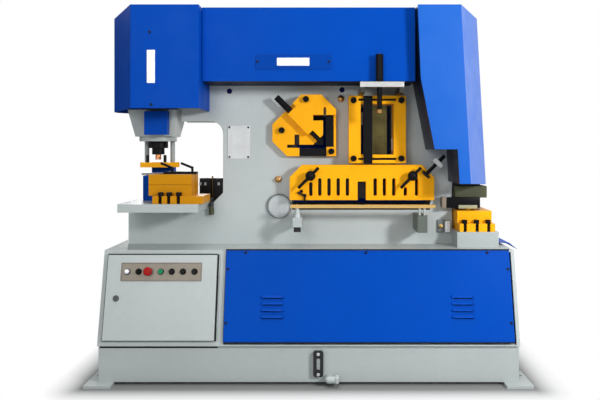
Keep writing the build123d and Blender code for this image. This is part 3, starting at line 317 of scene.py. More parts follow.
def enamel_group():
    """Sprayed enamel: slow tone drift, orange peel and a little dust on upward faces."""
    group, into, out = new_group(
        "enamel_coat",
        [("Color", COLOUR, (1, 1, 1, 1)), ("Drift", FLOAT, 0.06), ("Gloss", FLOAT, 0.3),
         ("Dust", FLOAT, 0.15)],
        [("Color", COLOUR), ("Roughness", FLOAT), ("Height", FLOAT)])
    where = object_point(group)
    slow = spread(group, noise(group, where, scale=2.2, detail=4), NOISE_BAND, (-1.0, 1.0))
    fine = spread(group, noise(group, where, scale=34, detail=4), NOISE_BAND, (-0.02, 0.02))
    painted = toned(group, into["Color"], total(group, product(group, slow, into["Drift"]), fine, 1.0))
    face = axis_parts(group, add(group, "ShaderNodeNewGeometry").outputs["Normal"])
    upward = spread(group, face["Z"], (0.75, 1.0), FULL)
    specks = spread(group, noise(group, where, scale=16, detail=6, roughness=0.7), (0.42, 0.68), FULL)
    dust = product(group, upward, specks, into["Dust"])
    feed(group, mix_colour(group, dust, painted, solid(DUST)), out["Color"])
    smear = spread(group, noise(group, where, scale=7, detail=5), NOISE_BAND, (-0.07, 0.07))
    feed(group, total(group, into["Gloss"], smear, product(group, dust, 0.4)), out["Roughness"])
    feed(group, noise(group, where, scale=260, detail=2), out["Height"])
    return group


def machined_group():
    """Fine tool lines along one direction, with soft stains."""
    group, into, out = new_group(
        "tool_lines",
        [("Stretch", VECTOR, (30.0, 30.0, 900.0)), ("Stain", FLOAT, 0.2), ("Gloss", FLOAT, 0.3)],
        [("Shade", FLOAT), ("Roughness", FLOAT), ("Height", FLOAT)])
    where = object_point(group)
    lines = noise(group, vector(group, "MULTIPLY", where, into["Stretch"]), scale=1.0)
    stain = spread(group, noise(group, where, scale=11, detail=6, roughness=0.65), (0.38, 0.70), FULL)
    dull = product(group, stain, into["Stain"])
    bright = spread(group, lines, LINE_BAND, LINE_SHADE)
    feed(group, maths(group, "SUBTRACT", bright, dull), out["Shade"])
    scratches = spread(group, lines, LINE_BAND, (-0.05, 0.05))
    feed(group, total(group, into["Gloss"], product(group, dull, 0.6), scratches), out["Roughness"])
    feed(group, lines, out["Height"])
    return group


def moulded_group():
    """Spark-eroded grain of moulded plastic."""
    group, into, out = new_group(
        "moulded_grain", [("Scale", FLOAT, 420.0), ("Gloss", FLOAT, 0.4)],
        [("Roughness", FLOAT), ("Height", FLOAT), ("Tone", FLOAT)])
    where = object_point(group)
    grain = add(group, "ShaderNodeTexVoronoi")
    feed(group, into["Scale"], grain.inputs["Scale"])
    feed(group, where, grain.inputs["Vector"])
    rub = spread(group, noise(group, where, scale=25, detail=5), (0.35, 0.7), (-0.08, 0.12))
    feed(group, total(group, into["Gloss"], rub), out["Roughness"])
    feed(group, grain.outputs["Distance"], out["Height"])
    feed(group, spread(group, noise(group, where, scale=60), NOISE_BAND, (0.85, 1.15)), out["Tone"])
    return group


def thread_group():
    """Screw thread: a wave that runs along an axis."""
    group, into, out = new_group("screw_thread", [("Axis", VECTOR, (0.0, 0.0, 1.0)), ("Turns", FLOAT, 400.0)],
                                 [("Height", FLOAT)])
    along = vector(group, "DOT_PRODUCT", object_point(group), into["Axis"])
    feed(group, maths(group, "PINGPONG", product(group, along, into["Turns"]), 1.0), out["Height"])
    return group


GROUP_MAKERS = {"edge_wear": edge_wear_group, "enamel_coat": enamel_group, "tool_lines": machined_group,
                "moulded_grain": moulded_group, "screw_thread": thread_group}


def use_group(tree, name, **values):
    made = add(tree, "ShaderNodeGroup")
    made.node_tree = bpy.data.node_groups.get(name) or GROUP_MAKERS[name]()
    for key, value in values.items():
        made.inputs[key].default_value = value
    return made.outputs


def new_material(name):
    material = bpy.data.materials.new(name)
    material.use_nodes = True
    tree = material.node_tree
    return material, tree, tree.nodes["Principled BSDF"].inputs


def relief(tree, sockets, height, strength, distance, base_normal):
    bump = add(tree, "ShaderNodeBump")
    for key, value in (("Strength", strength), ("Distance", distance), ("Height", height),
                       ("Normal", base_normal)):
        feed(tree, value, bump.inputs[key])
    feed(tree, bump.outputs["Normal"], sockets["Normal"])


def inside_box(tree, low, high):
    """One inside a box of the row frame, nothing outside."""
    where = axis_parts(tree, object_point(tree))
    return product(tree, *[maths(tree, "COMPARE", where[axis], (low[axis] + high[axis]) / 2,
                                 (high[axis] - low[axis]) / 2) for axis in range(3)])


def along_band(tree, axis, centre, reach):
    """One in a slice across an axis, nothing outside."""
    return maths(tree, "COMPARE", vector(tree, "DOT_PRODUCT", object_point(tree), axis), centre, reach)


def faces_along(tree, direction):
    """One on faces that look along a direction, nothing elsewhere."""
    face = add(tree, "ShaderNodeNewGeometry").outputs["True Normal"]
    near = 0.8
    return maths(tree, "GREATER_THAN", vector(tree, "DOT_PRODUCT", face, direction), near)


def repaint(material, mask, tint, metal=0.0):
    """Another tint where the mask is one."""
    tree = material.node_tree
    sockets = tree.nodes["Principled BSDF"].inputs
    base = source_of(sockets["Base Color"])
    feed(tree, mix_colour(tree, mask, base, solid(tint)), sockets["Base Color"])
    if metal:
        old = source_of(sockets["Metallic"])
        feed(tree, maths(tree, "MAXIMUM", old, product(tree, mask, metal)), sockets["Metallic"])
    return material


def repaint_boxes(material, *boxes):
    """Another tint in each box, given by its low and high corners."""
    for low, high, tint in boxes:
        repaint(material, inside_box(material.node_tree, low, high), tint)
    return material


def repaint_faces(material, *sides):
    """Another tint on the faces that look along each direction."""
    for direction, tint in sides:
        repaint(material, faces_along(material.node_tree, direction), tint)
    return material


# Finishes
def enamel(name, tint, gloss=0.30, drift=0.06, dust=0.15, wear=0.5, under=(0.23, 0.23, 0.24), coat=0.35,
           mirror=0.3):
    """Sprayed enamel with rubbed edges."""
    material, tree, sockets = new_material(name)
    paint = use_group(tree, "enamel_coat", Color=solid(tint), Drift=drift, Gloss=gloss, Dust=dust)
    edge = use_group(tree, "edge_wear", Radius=sizes().wear_radius, Amount=wear)
    feed(tree, mix_colour(tree, edge["Mask"], paint["Color"], solid(under)), sockets["Base Color"])
    feed(tree, paint["Roughness"], sockets["Roughness"])
    sockets["Coat Weight"].default_value = coat
    sockets["Coat Roughness"].default_value = 0.15
    sockets["Specular IOR Level"].default_value = mirror
    relief(tree, sockets, paint["Height"], 0.10, 0.0006, edge["Normal"])
    return material


def machined(name, tint, stretch=(30.0, 30.0, 900.0), stain=0.15, gloss=0.28, metallic=1.0):
    """Bare metal with fine tool lines."""
    material, tree, sockets = new_material(name)
    lines = use_group(tree, "tool_lines", Stretch=stretch, Stain=stain, Gloss=gloss)
    edge = use_group(tree, "edge_wear", Radius=sizes().wear_radius / 2, Amount=0.6)
    shaded = toned(tree, solid(tint), lines["Shade"])
    bright = solid(min(1.0, value * 1.4) for value in tint)
    feed(tree, mix_colour(tree, edge["Mask"], shaded, bright), sockets["Base Color"])
    sockets["Metallic"].default_value = metallic
    feed(tree, lines["Roughness"], sockets["Roughness"])
    relief(tree, sockets, lines["Height"], 0.06, 0.0004, edge["Normal"])
    return material


def black_steel(name, tint, thread_axis=None, turns=420.0):
    """Blackened steel: thin oil film, bright rubbed edges and, on a screw, its thread."""
    material, tree, sockets = new_material(name)
    film = use_group(tree, "enamel_coat", Color=solid(tint), Drift=0.35, Gloss=0.36, Dust=0.10)
    edge = use_group(tree, "edge_wear", Radius=sizes().wear_radius / 2, Amount=0.75)
    feed(tree, mix_colour(tree, edge["Mask"], film["Color"], solid(RUBBED_STEEL)), sockets["Base Color"])
    feed(tree, product(tree, edge["Mask"], 0.9), sockets["Metallic"])
    sockets["Specular IOR Level"].default_value = 0.07
    feed(tree, film["Roughness"], sockets["Roughness"])
    if thread_axis is None:
        relief(tree, sockets, film["Height"], 0.12, 0.0005, edge["Normal"])
    else:
        thread = use_group(tree, "screw_thread", Axis=thread_axis, Turns=turns)
        relief(tree, sockets, thread["Height"], 0.8, 0.0012, edge["Normal"])
    return material


def moulded(name, tint, gloss=0.32, coat=0.0, grain=420.0, mirror=0.3):
    """Moulded plastic with a fine grain."""
    material, tree, sockets = new_material(name)
    skin = use_group(tree, "moulded_grain", Scale=grain, Gloss=gloss)
    edge = use_group(tree, "edge_wear", Radius=sizes().wear_radius / 2, Amount=0.25)
    rubbed = solid(min(1.0, value * 1.6 + 0.04) for value in tint)
    body = toned(tree, solid(tint), skin["Tone"])
    feed(tree, mix_colour(tree, edge["Mask"], body, rubbed), sockets["Base Color"])
    feed(tree, skin["Roughness"], sockets["Roughness"])
    sockets["Coat Weight"].default_value = coat
    sockets["Specular IOR Level"].default_value = mirror
    relief(tree, sockets, skin["Height"], 0.05, 0.0003, edge["Normal"])
    return material


def yellow_enamel(name):
    return enamel(name, colours().yellow, **YELLOW_COAT)


def joint_line(name):
    """A joint's axis, and how far along it the joint's place lies."""
    axis = JOINTS[name]["axis"]
    return tuple(axis), Vector(JOINTS[name]["pos_m"]).dot(Vector(axis))


def stripper_finish():
    """Yellow plate, with grey posts behind and black ones in front."""
    low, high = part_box("stripper")
    plate_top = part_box("bolster")[1].z + 0.0262
    behind, before = 0.012, 0.0
    return repaint_boxes(yellow_enamel("stripper_enamel"),
                         ((low.x, behind, plate_top), high, colours().grey),
                         ((low.x, low.y, plate_top), (high.x, before, high.z), colours().black))


def hold_down_finish():
    """Yellow plate with black nuts standing in front of it."""
    low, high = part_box("hold_down_plate")
    nut_height = 0.0206
    return repaint_boxes(yellow_enamel("hold_down_enamel"),
                         (low, (high.x, low.y + nut_height, high.z), colours().black))


def section_frame_with_painted_shade():
    """Yellow frame with painted shade in black in the slots over and under its window."""
    low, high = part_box("section_frame")
    left, right, half, skin = 0.241, 0.430, 0.0056, 0.0006
    # Painted shade: black in the shallow slots over and under the window
    slots = [((left, low.y + skin, level - half), (right, high.y, level + half), colours().black)
             for level in (1.0515, 1.3465)]
    return repaint_boxes(yellow_enamel("section_enamel_painted_shade"), *slots)


def angle_plate_with_painted_shade():
    """Yellow plate with painted shade in black in its inner corner, beyond the tip of the clamp screw."""
    made = yellow_enamel("angle_enamel_painted_shade")
    tree = made.node_tree
    axis, start = joint_line("angle_screw_turn")
    tip, half = 0.3005, 0.1
    # Painted shade: black in the inner corner, beyond the screw tip
    corner = inside_box(tree, (-0.03, -0.2, 1.1225), (0.0655, 0.0, 1.19))
    beyond = along_band(tree, axis, start + tip + half, half)
    return repaint(made, product(tree, corner, beyond), colours().black)


def front_plate_with_painted_light_and_shade():
    """Grey plate in a lighter copy of the frame grey, as painted light, with painted shade in black behind the
    angle station's stub and behind the hold-down slots.
    """
    return repaint_boxes(enamel("front_plate_enamel_painted_light_and_shade", FRONT_GREY_PAINTED_LIGHT, **GREY_COAT),
                         # Painted shade: black on the plate behind the angle station's stub, then behind the
                         # hold-down slots
                         ((-0.082, -0.1, 1.105), (-0.053, 0.0, 1.176), colours().black),
                         ((-0.090, -0.1, 0.826), (0.610, 0.0, 0.952), colours().black))


def crossbar_with_painted_shade():
    """Bare bar on legs painted dark, as painted shade under the bar."""
    low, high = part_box("section_crossbar")
    margin, bar = 0.01, 0.0243
    legs = ([value - margin for value in low], (high.x + margin, high.y + margin, high.z - bar))
    return repaint_boxes(machined("crossbar_steel_painted_shade", colours().steel), (*legs, CROSSBAR_LEGS_PAINTED_SHADE))


def bracket_finish():
    """Grey brackets: a black foot at the left, a dark box at the right."""
    low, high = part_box("side_brackets")
    margin, foot_top, box_top = 0.01, 0.7209, 0.778
    box = ((0.0, low.y - margin, low.z - margin), (high.x + margin, high.y, box_top))
    return repaint_boxes(enamel("bracket_enamel", colours().grey, **BRACKET_COAT),
                         (low, (0.0, high.y, foot_top), colours().black), (*box, BRACKET_DARK))


def corner_finish():
    """Black screw with a bare knob."""
    axis, start = joint_line("corner_screw_turn")
    made = black_steel("corner_screw_steel", colours().black, axis, 380.0)
    knob, half = 0.0905, 0.0112
    return repaint(made, along_band(made.node_tree, axis, start + knob, half), colours().steel, metal=1.0)


def spindle_finish():
    """Black spindle whose foot is brass."""
    made = black_steel("brass_footed_spindle", colours().black, UP)
    foot_top, half = JOINTS["section_screw_turn"]["pos_m"][2] - 0.113, 0.5
    return repaint(made, along_band(made.node_tree, UP, foot_top - half, half), FOOT_BRASS, metal=1.0)


def hood_with_painted_light_and_shade():
    """Blue hood in a lighter copy of the cover blue, as painted light, with painted shade on its left faces and
    painted light on its right ones.
    """
    return repaint_faces(enamel("shear_hood_enamel_painted_light_and_shade", HOOD_BLUE_PAINTED_LIGHT, **HOOD_COAT), (LEFT, HOOD_LEFT_PAINTED_SHADE),
                         (RIGHT, HOOD_RIGHT_PAINTED_LIGHT))


def beam_with_painted_shade():
    """Blue cover with painted shade on its undersides."""
    return repaint_faces(enamel("beam_enamel_painted_shade", colours().blue, **BLUE_COAT), (DOWN, BEAM_UNDERSIDE_PAINTED_SHADE))


def pin_finish():
    """Lathe-turned cap: rings about an axis that runs front to back, and a black rim."""
    made = machined("turned_pin", (0.47, 0.51, 0.52), (40.0, 40.0, 40.0), stain=0.12, gloss=0.40,
                    metallic=0.25)
    tree = made.node_tree
    sockets = tree.nodes["Principled BSDF"].inputs
    away = vector(tree, "SUBTRACT", object_point(tree), middle("pivot_pin"))
    radius = vector(tree, "LENGTH", vector(tree, "MULTIPLY", away, (1.0, 0.0, 1.0)))
    rings = add(tree, "ShaderNodeTexNoise", noise_dimensions="1D")
    feed(tree, radius, rings.inputs["W"])
    rings.inputs["Scale"].default_value = 420.0
    shade = spread(tree, rings.outputs["Fac"], NOISE_BAND, LINE_SHADE)
    ringed_tint = toned(tree, source_of(sockets["Base Color"]), shade)
    rim = spread(tree, radius, (0.0580, 0.0588), FULL)
    feed(tree, mix_colour(tree, rim, ringed_tint, solid(colours().black)), sockets["Base Color"])
    normal = use_group(tree, "edge_wear", Radius=sizes().wear_radius / 2, Amount=0.0)["Normal"]
    relief(tree, sockets, rings.outputs["Fac"], 0.25, 0.0004, normal)
    return made


def node_materials():
    """Finishes of nodes that have more than one paint, or one of their own; several of them carry painted light or
    painted shade.
    """
    beam = beam_with_painted_shade()
    angle_axis = joint_line("angle_screw_turn")[0]
    return {
        "stripper": stripper_finish(), "hold_down_plate": hold_down_finish(),
        "section_frame": section_frame_with_painted_shade(), "side_brackets": bracket_finish(), "corner_screw": corner_finish(),
        "angle_plate": angle_plate_with_painted_shade(), "front_plate": front_plate_with_painted_light_and_shade(), "section_screw": spindle_finish(),
        "pivot_pin": pin_finish(), "section_crossbar": crossbar_with_painted_shade(), "shear_hood": hood_with_painted_light_and_shade(),
        # The beam cover and the punch hood share the blue with painted shade on the undersides
        "beam_cover": beam, "punch_hood": beam,
        "angle_screw": black_steel("threaded_black", colours().black, angle_axis, 380.0),
        "die": machined("die_steel", (0.22, 0.21, 0.20), (40.0, 40.0, 400.0), stain=0.2, gloss=0.35),
        # Tool block in a darker copy of the tool yellow, as painted shade
        "tool_block": enamel("tool_block_enamel_painted_shade", BLOCK_YELLOW_PAINTED_SHADE, **BLOCK_COAT),
    }


def slot_materials():
    """One finish for each of the machine's finish slots."""
    tints = colours()
    return {
        "blue_paint": enamel("blue_enamel", tints.blue, **BLUE_COAT),
        "grey_paint": enamel("grey_enamel", tints.grey, **GREY_COAT),
        "yellow_paint": yellow_enamel("yellow_enamel"),
        "black_steel": black_steel("blackened_steel", tints.black),
        "bare_steel": machined("turned_steel", tints.steel),
        "screw_steel": black_steel("cover_screw_black", (0.008, 0.008, 0.010)),
        "lock_chrome": machined("chrome_lock", (0.06, 0.064, 0.068), (120.0, 120.0, 120.0), stain=0.1,
                                gloss=0.18),
        "rocker_steel": machined("rocker_plate", tints.rocker, (12.0, 300.0, 300.0), stain=0.45, gloss=0.42,
                                 metallic=0.85),
        "brass": machined("drawn_brass", tints.brass, (14.0, 900.0, 900.0), stain=0.2, gloss=0.26),
        "copper": machined("copper_punch", tints.copper, (60.0, 60.0, 900.0), stain=0.15, gloss=0.25),
        "olive_steel": machined("olive_blade", tints.olive, (500.0, 500.0, 14.0), stain=0.35, gloss=0.34,
                                metallic=0.55),
        "khaki_paint": enamel("khaki_primer", tints.khaki, **KHAKI_COAT),
        "box_plastic": moulded("box_plastic", tints.plastic, gloss=0.42, coat=0.03, grain=700.0, mirror=0.2),
        "control_metal": machined("control_plate_metal", tints.bronze, (900.0, 14.0, 14.0), stain=0.08,
                                  gloss=0.42, metallic=0.35),
        "lamp_white": moulded("lamp_lens", (0.80, 0.83, 0.88), gloss=0.12, coat=0.8, grain=160.0),
        "stop_red": moulded("stop_red_plastic", tints.red, gloss=0.30, mirror=0.08),
        "start_green": moulded("start_green_plastic", tints.green, gloss=0.28, mirror=0.1),
        "control_black": moulded("control_black_plastic", (0.003, 0.003, 0.003), gloss=0.30, mirror=0.08),
        "motor_paint": enamel("motor_enamel", tints.motor),
    }


def trim_materials():
    """Finishes of the trim, which takes them by name."""
    moulded("white_strip", colours().white, gloss=0.35, coat=0.2, grain=600.0)
    moulded("seal_rubber", (0.010, 0.011, 0.012), gloss=0.6, grain=500.0, mirror=0.1)
    moulded("sight_glass", (0.24, 0.27, 0.26), gloss=0.15, coat=0.6, grain=60.0)
    moulded("contactor_grey", (0.10, 0.105, 0.11), gloss=0.45, coat=0.05, grain=500.0)
    moulded("duct_grey", (0.36, 0.37, 0.38), gloss=0.5, grain=500.0)
    enamel("band_blue", [value * 0.82 for value in colours().blue], gloss=0.42, coat=0.0, mirror=0.04)
    enamel("navy_plug", (0.003, 0.006, 0.07), gloss=0.4, coat=0.0, mirror=0.05)
    enamel("taupe_spacer", (0.24, 0.19, 0.15), gloss=0.5, coat=0.0)
    enamel("cream_gauge", (0.36, 0.36, 0.23), gloss=0.45, coat=0.0)
    enamel("lube_bracket_grey", (0.16, 0.18, 0.185), gloss=0.5, coat=0.0)
    machined("fitting_brass", (0.36, 0.21, 0.08), (40.0, 40.0, 400.0), stain=0.25, gloss=0.30)
    machined("plate_rim", (0.16, 0.14, 0.12), (14.0, 900.0, 900.0), stain=0.1, gloss=0.4, metallic=0.6)
    machined("bare_plate_metal", (0.62, 0.64, 0.64), (14.0, 14.0, 700.0), stain=0.12, gloss=0.45,
             metallic=0.12)


# Mesh helpers
def new_object(name, builder, finish):
    """Links a finished mesh to the scene."""
    mesh = bpy.data.meshes.new(name)
    builder.to_mesh(mesh)
    builder.free()
    mesh.materials.append(bpy.data.materials[finish])
    piece = bpy.data.objects.new(name, mesh)
    bpy.context.scene.collection.objects.link(piece)
    return piece


def place_mesh(name, builder, turn, at, finish, body="machine"):
    """Sets a finished mesh at a place in the row frame, and ties it to a body."""
    piece = new_object(name, builder, finish)
    piece.data.transform(Matrix.Translation(Vector(at)) @ turn)
    piece.data.shade_smooth()
    piece.data.set_sharp_from_angle(angle=math.radians(38))
    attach(piece, body)


def bridge(builder, rings):
    """Joins each ring of points to the next with faces."""
    count = len(rings[0])
    for low, high in zip(rings, rings[1:]):
        for step in range(count):
            following = (step + 1) % count
            builder.faces.new((low[step], low[following], high[following], high[step]))


def cap(builder, rings):
    builder.faces.new(list(reversed(rings[0])))
    builder.faces.new(rings[-1])


def lathe(profile, segments):
    """Rings of (radius, height) points spun about local Z, joined by faces."""
    builder = bmesh.new()
    rings = []
    for radius, height in profile:
        angles = [2 * math.pi * step / segments for step in range(segments)]
        rings.append([builder.verts.new((radius * math.cos(angle), radius * math.sin(angle), height))
                      for angle in angles])
    bridge(builder, rings)
    return builder, rings


def turned(profile, segments):
    """A turned form, closed at both ends."""
    builder, rings = lathe(profile, segments)
    cap(builder, rings)
    return builder


def ringed(profile, segments=40):
    """A turned ring: the last profile point joins the first."""
    builder = lathe(profile + profile[:1], segments)[0]
    bmesh.ops.remove_doubles(builder, verts=builder.verts, dist=1e-7)
    bmesh.ops.recalc_face_normals(builder, faces=builder.faces)
    return builder


def rounded_slab(width, height, thickness, radius, edge, steps=6):
    """Flat slab with rounded corners and softened front edges, its back at local Z zero."""
    builder = bmesh.new()
    rings = []
    for inset, level in ((0.0, 0.0), (0.0, thickness - edge), (edge, thickness)):
        ring = []
        for cx, cy, first in ((1, 1, 0), (-1, 1, 90), (-1, -1, 180), (1, -1, 270)):
            for step in range(steps + 1):
                angle = math.radians(first + 90 * step / steps)
                x = cx * (width / 2 - radius) + (radius - inset) * math.cos(angle)
                y = cy * (height / 2 - radius) + (radius - inset) * math.sin(angle)
                ring.append(builder.verts.new((x, y, level)))
        rings.append(ring)
    bridge(builder, rings)
    cap(builder, rings)
    return builder


def coil(radius, wire, height, turns, steps=18, sides=8):
    """Open compression spring along local Z, with closed wire ends."""
    builder = bmesh.new()
    rings = []
    count = int(turns * steps)
    for number in range(count + 1):
        angle = 2 * math.pi * number / steps
        outward = Vector((math.cos(angle), math.sin(angle), 0))
        centre = outward * radius + UP * (height * number / count)
        around = [2 * math.pi * side / sides for side in range(sides)]
        rings.append([builder.verts.new(centre + outward * wire * math.cos(turn) + UP * wire * math.sin(turn))
                      for turn in around])
    bridge(builder, rings)
    cap(builder, rings)
    bmesh.ops.recalc_face_normals(builder, faces=builder.faces)
    return builder


def slab(name, low, high, edge, finish):
    """Soft-edged block between two corners of the row frame."""
    low, high = Vector(low), Vector(high)
    builder = bmesh.new()
    bmesh.ops.create_cube(builder, size=1.0)
    bmesh.ops.scale(builder, vec=high - low, verts=builder.verts)
    bmesh.ops.bevel(builder, geom=list(builder.edges), offset=edge, segments=3, affect="EDGES", profile=0.5)
    place_mesh(name, builder, NO_TURN, (low + high) / 2, finish)


def top_level(node, direction):
    """How far a node reaches along a direction."""
    return max(vertex.co.dot(direction) for vertex in NODES[node].data.vertices)


def middle(node):
    low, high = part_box(node)
    return (low + high) / 2


def front_of(node):
    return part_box(node)[0].y


def on_slope(point, level):
    """A point moved straight out of the slope to a level."""
    return point + SLOPE_OUT * (level - point.dot(SLOPE_OUT))


class IRONWORKER_OT_finishes(bpy.types.Operator):
    """Give every solid of the machine its finish"""
    bl_idname = "ironworker.finishes"
    bl_label = "Finishes"

    def execute(self, context):
        of_slot = slot_materials()
        of_node = node_materials()
        trim_materials()
        for node, piece in NODES.items():
            piece.data.materials.clear()
            piece.data.materials.append(of_node.get(node) or of_slot[SLOT_OF_NODE[node]])
        return {"FINISHED"}


class IRONWORKER_OT_control_trim(bpy.types.Operator):
    """Bezels of the controls and the border of the control plate"""
    bl_idname = "ironworker.control_trim"
    bl_label = "Control trim"

    def execute(self, context):
        level = top_level("control_plate", SLOPE_OUT)
        bore, radius, stand = 0.0115, sizes().bezel_radius, sizes().bezel_height
        profile = [(bore, 0.0), (radius, 0.0), (radius, stand * 0.35), (radius * 0.93, stand * 0.8),
                   (radius * 0.86, stand), (bore, stand)]
        for node in CONTROLS:
            finish = "chrome_lock" if node in BRIGHT_CONTROLS else "control_black_plastic"
            place_mesh("bezel_" + node, ringed(profile), SLOPE_TURN, on_slope(middle(node), level), finish,
                       "door_leaf")
        low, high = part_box("control_plate")
        inset, bar = 0.006, 0.004
        tall = (high.z - low.z) / SLOPE_UP.z - inset
        wide = high.x - low.x - inset
        seat = on_slope(middle("control_plate"), level)
        sides = ((0.0, tall / 2, wide, bar), (0.0, -tall / 2, wide, bar), (wide / 2, 0.0, bar, tall),
                 (-wide / 2, 0.0, bar, tall))
        for number, (along, across, width, height) in enumerate(sides):
            strip = rounded_slab(width, height, thickness=0.0016, radius=0.0018, edge=0.0005)
            place = seat + RIGHT * along + SLOPE_UP * across
            place_mesh("plate_border_%d" % number, strip, SLOPE_TURN, place, "plate_rim",
                       "door_leaf")
        return {"FINISHED"}


class IRONWORKER_OT_blank_strips(bpy.types.Operator):
    """White insert strips of the covers and the bare plate on the frame"""
    bl_idname = "ironworker.blank_strips"
    bl_label = "Blank strips"

    def execute(self, context):
        thick = sizes().strip_thickness
        hood, beam, plate = front_of("punch_hood"), front_of("beam_cover"), front_of("front_plate")
        # Name, then width, height, thickness, corner and edge, then place, finish and slot
        rows = (
            ("hood_strip", (0.038, 0.155, thick, 0.0025, 0.001), (-0.7395, hood, 1.487), "white_strip",
             "lamp_white"),
            ("beam_band", (0.367, 0.070, thick, 0.006, 0.0008), (-0.073, beam, 1.518), "band_blue",
             "blue_paint"),
            ("beam_strip", (0.155, 0.038, thick, 0.0025, 0.001), (-0.077, beam - thick, 1.5175),
             "white_strip", "lamp_white"),
            ("bare_plate", (0.114, 0.171, thick, 0.003, 0.0006), (-0.366, plate, 1.136), "bare_plate_metal",
             "bare_steel"),
            ("bare_plate_panel", (0.080, 0.110, thick / 3, 0.003, 0.0004), (-0.366, plate - thick, 1.136),
             "bare_plate_metal", "bare_steel"),
        )
        for name, shape, place, finish, slot in rows:
            place_mesh(name, rounded_slab(*shape), FRONT_TURN, place, finish)
        rivet = sizes().rivet_radius
        profile = [(rivet * wide, rivet * high) for wide, high in RIVET]
        for number, (x, z) in enumerate(((-0.414, 1.212), (-0.318, 1.212), (-0.414, 1.060), (-0.318, 1.060))):
            place_mesh("plate_rivet_%d" % number, turned(profile, 20), FRONT_TURN, (x, plate - thick, z),
                       "cover_screw_black")
        return {"FINISHED"}


class IRONWORKER_OT_frame_fittings(bpy.types.Operator):
    """Tapped plugs, grease fittings, cable gland and switch marks on the frame"""
    bl_idname = "ironworker.frame_fittings"
    bl_label = "Frame fittings"

    def execute(self, context):
        face = front_of("front_plate")
        box_face = front_of("switch_boxes")
        for number, (x, z) in enumerate(((-0.414, 1.397), (0.162, 1.404))):
            place_mesh("tapped_plug_%d" % number, turned(PLUG, 28), FRONT_TURN, (x, face, z), "navy_plug")
        for number, (x, z) in enumerate(((0.156, 1.358), (-0.165, 0.946))):
            place_mesh("grease_fitting_%d" % number, turned(GREASE_FITTING, 28), FRONT_TURN, (x, face, z),
                       "fitting_brass")
        foot = Vector((-0.504, face - 0.014, 0.767))
        body_height = GLAND_BODY[-1][1]
        place_mesh("gland_body", turned(GLAND_BODY, 28), NO_TURN, foot, "khaki_primer")
        place_mesh("gland_tip", turned(GLAND_TIP, 28), NO_TURN, foot + UP * body_height, "box_plastic")
        place_mesh("gland_conduit", turned(GLAND_TUBE, 20), NO_TURN, (-0.5335, box_face + 0.020, 0.785),
                   "fitting_brass")
        for number, x in enumerate((-0.596, -0.569, -0.497)):
            mark = rounded_slab(0.012, 0.016, thickness=0.0012, radius=0.002, edge=0.0004)
            place_mesh("switch_mark_%d" % number, mark, FRONT_TURN, (x, box_face, 0.914), "white_strip")
        return {"FINISHED"}


class IRONWORKER_OT_notch_trim(bpy.types.Operator):
    """Stripper bar and gauge of the notcher, and the lubrication block beside it"""
    bl_idname = "ironworker.notch_trim"
    bl_label = "Notcher trim"

    def execute(self, context):
        face = front_of("front_plate")
        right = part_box("front_plate")[1].x
        back, front, edge = face - 0.027, face - 0.055, 0.002
        slab("notch_stripper_bar", (0.686, front, 0.804), (0.856, back, 0.858), edge, "blackened_steel")
        slab("notch_stripper_end", (0.664, front, 0.802), (0.686, back, 0.860), edge, "taupe_spacer")
        slab("notch_stripper_spacer", (0.664, back, 0.808), (right, face, 0.854), 0.0015, "taupe_spacer")
        slab("lube_bracket", (0.648, face - 0.010, 0.676), (0.686, face, 0.740), edge, "lube_bracket_grey")
        slab("lube_block", (0.686, face - 0.030, 0.679), (0.710, face, 0.735), edge, "white_strip")
        place_mesh("lube_fitting", turned(LUBE_FITTING, 26), FRONT_TURN, (0.667, face - 0.010, 0.708),
                   "drawn_brass")
        slab("notch_gauge_bar", (0.744, face - 0.070, 0.802), (0.838, front, 0.820), edge, "cream_gauge")
        return {"FINISHED"}


class IRONWORKER_OT_front_seals(bpy.types.Operator):
    """Rubber seals round the door and the front panel and along the plinth"""
    bl_idname = "ironworker.front_seals"
    bl_label = "Front seals"

    def execute(self, context):
        face = top_level("base_frame", SLOPE_OUT)
        left = -top_level("door", LEFT)
        right = left + 0.517
        low, high = -top_level("door", -SLOPE_UP), top_level("door", SLOPE_UP)
        panel_left, panel_right = -top_level("front_panel", LEFT), top_level("front_panel", RIGHT)
        panel_low, panel_high = -top_level("front_panel", -SLOPE_UP), top_level("front_panel", SLOPE_UP)
        thin, wide, foot, thick = 0.0030, 0.0090, 0.005, 0.0008
        # Name, then the left and right ends and the lower and upper edges, up the slope
        strips = (
            ("door_seal_left", left - thin, left, low - thin, high + thin),
            ("door_seal_right", right, right + wide, low - thin, high + thin),
            ("door_seal_low", left, right, low - thin, low),
            ("door_seal_high", left, right, high, high + 2 * thin),
            ("panel_seal_high", panel_left, panel_right, panel_high, panel_high + 2 * thin),
            ("panel_seal_left", panel_left - thin / 2, panel_left, low, panel_high + 2 * thin),
            ("panel_seal_low", panel_left, panel_right, panel_low - foot, panel_low),
        )
        for name, x_low, x_high, up_low, up_high in strips:
            seat = RIGHT * (x_low + x_high) / 2 + SLOPE_UP * (up_low + up_high) / 2 + SLOPE_OUT * face
            strip = rounded_slab(x_high - x_low, up_high - up_low, thick, thin / 2.5, thick / 4)
            place_mesh(name, strip, SLOPE_TURN, seat, "seal_rubber")
        plinth_face, slope_foot = -0.367, 0.187
        slab("plinth_seal", (left - 0.020, plinth_face - 0.002, slope_foot - 0.014),
             (right + 0.012, plinth_face, slope_foot - 0.0005), 0.0006, "seal_rubber")
        return {"FINISHED"}


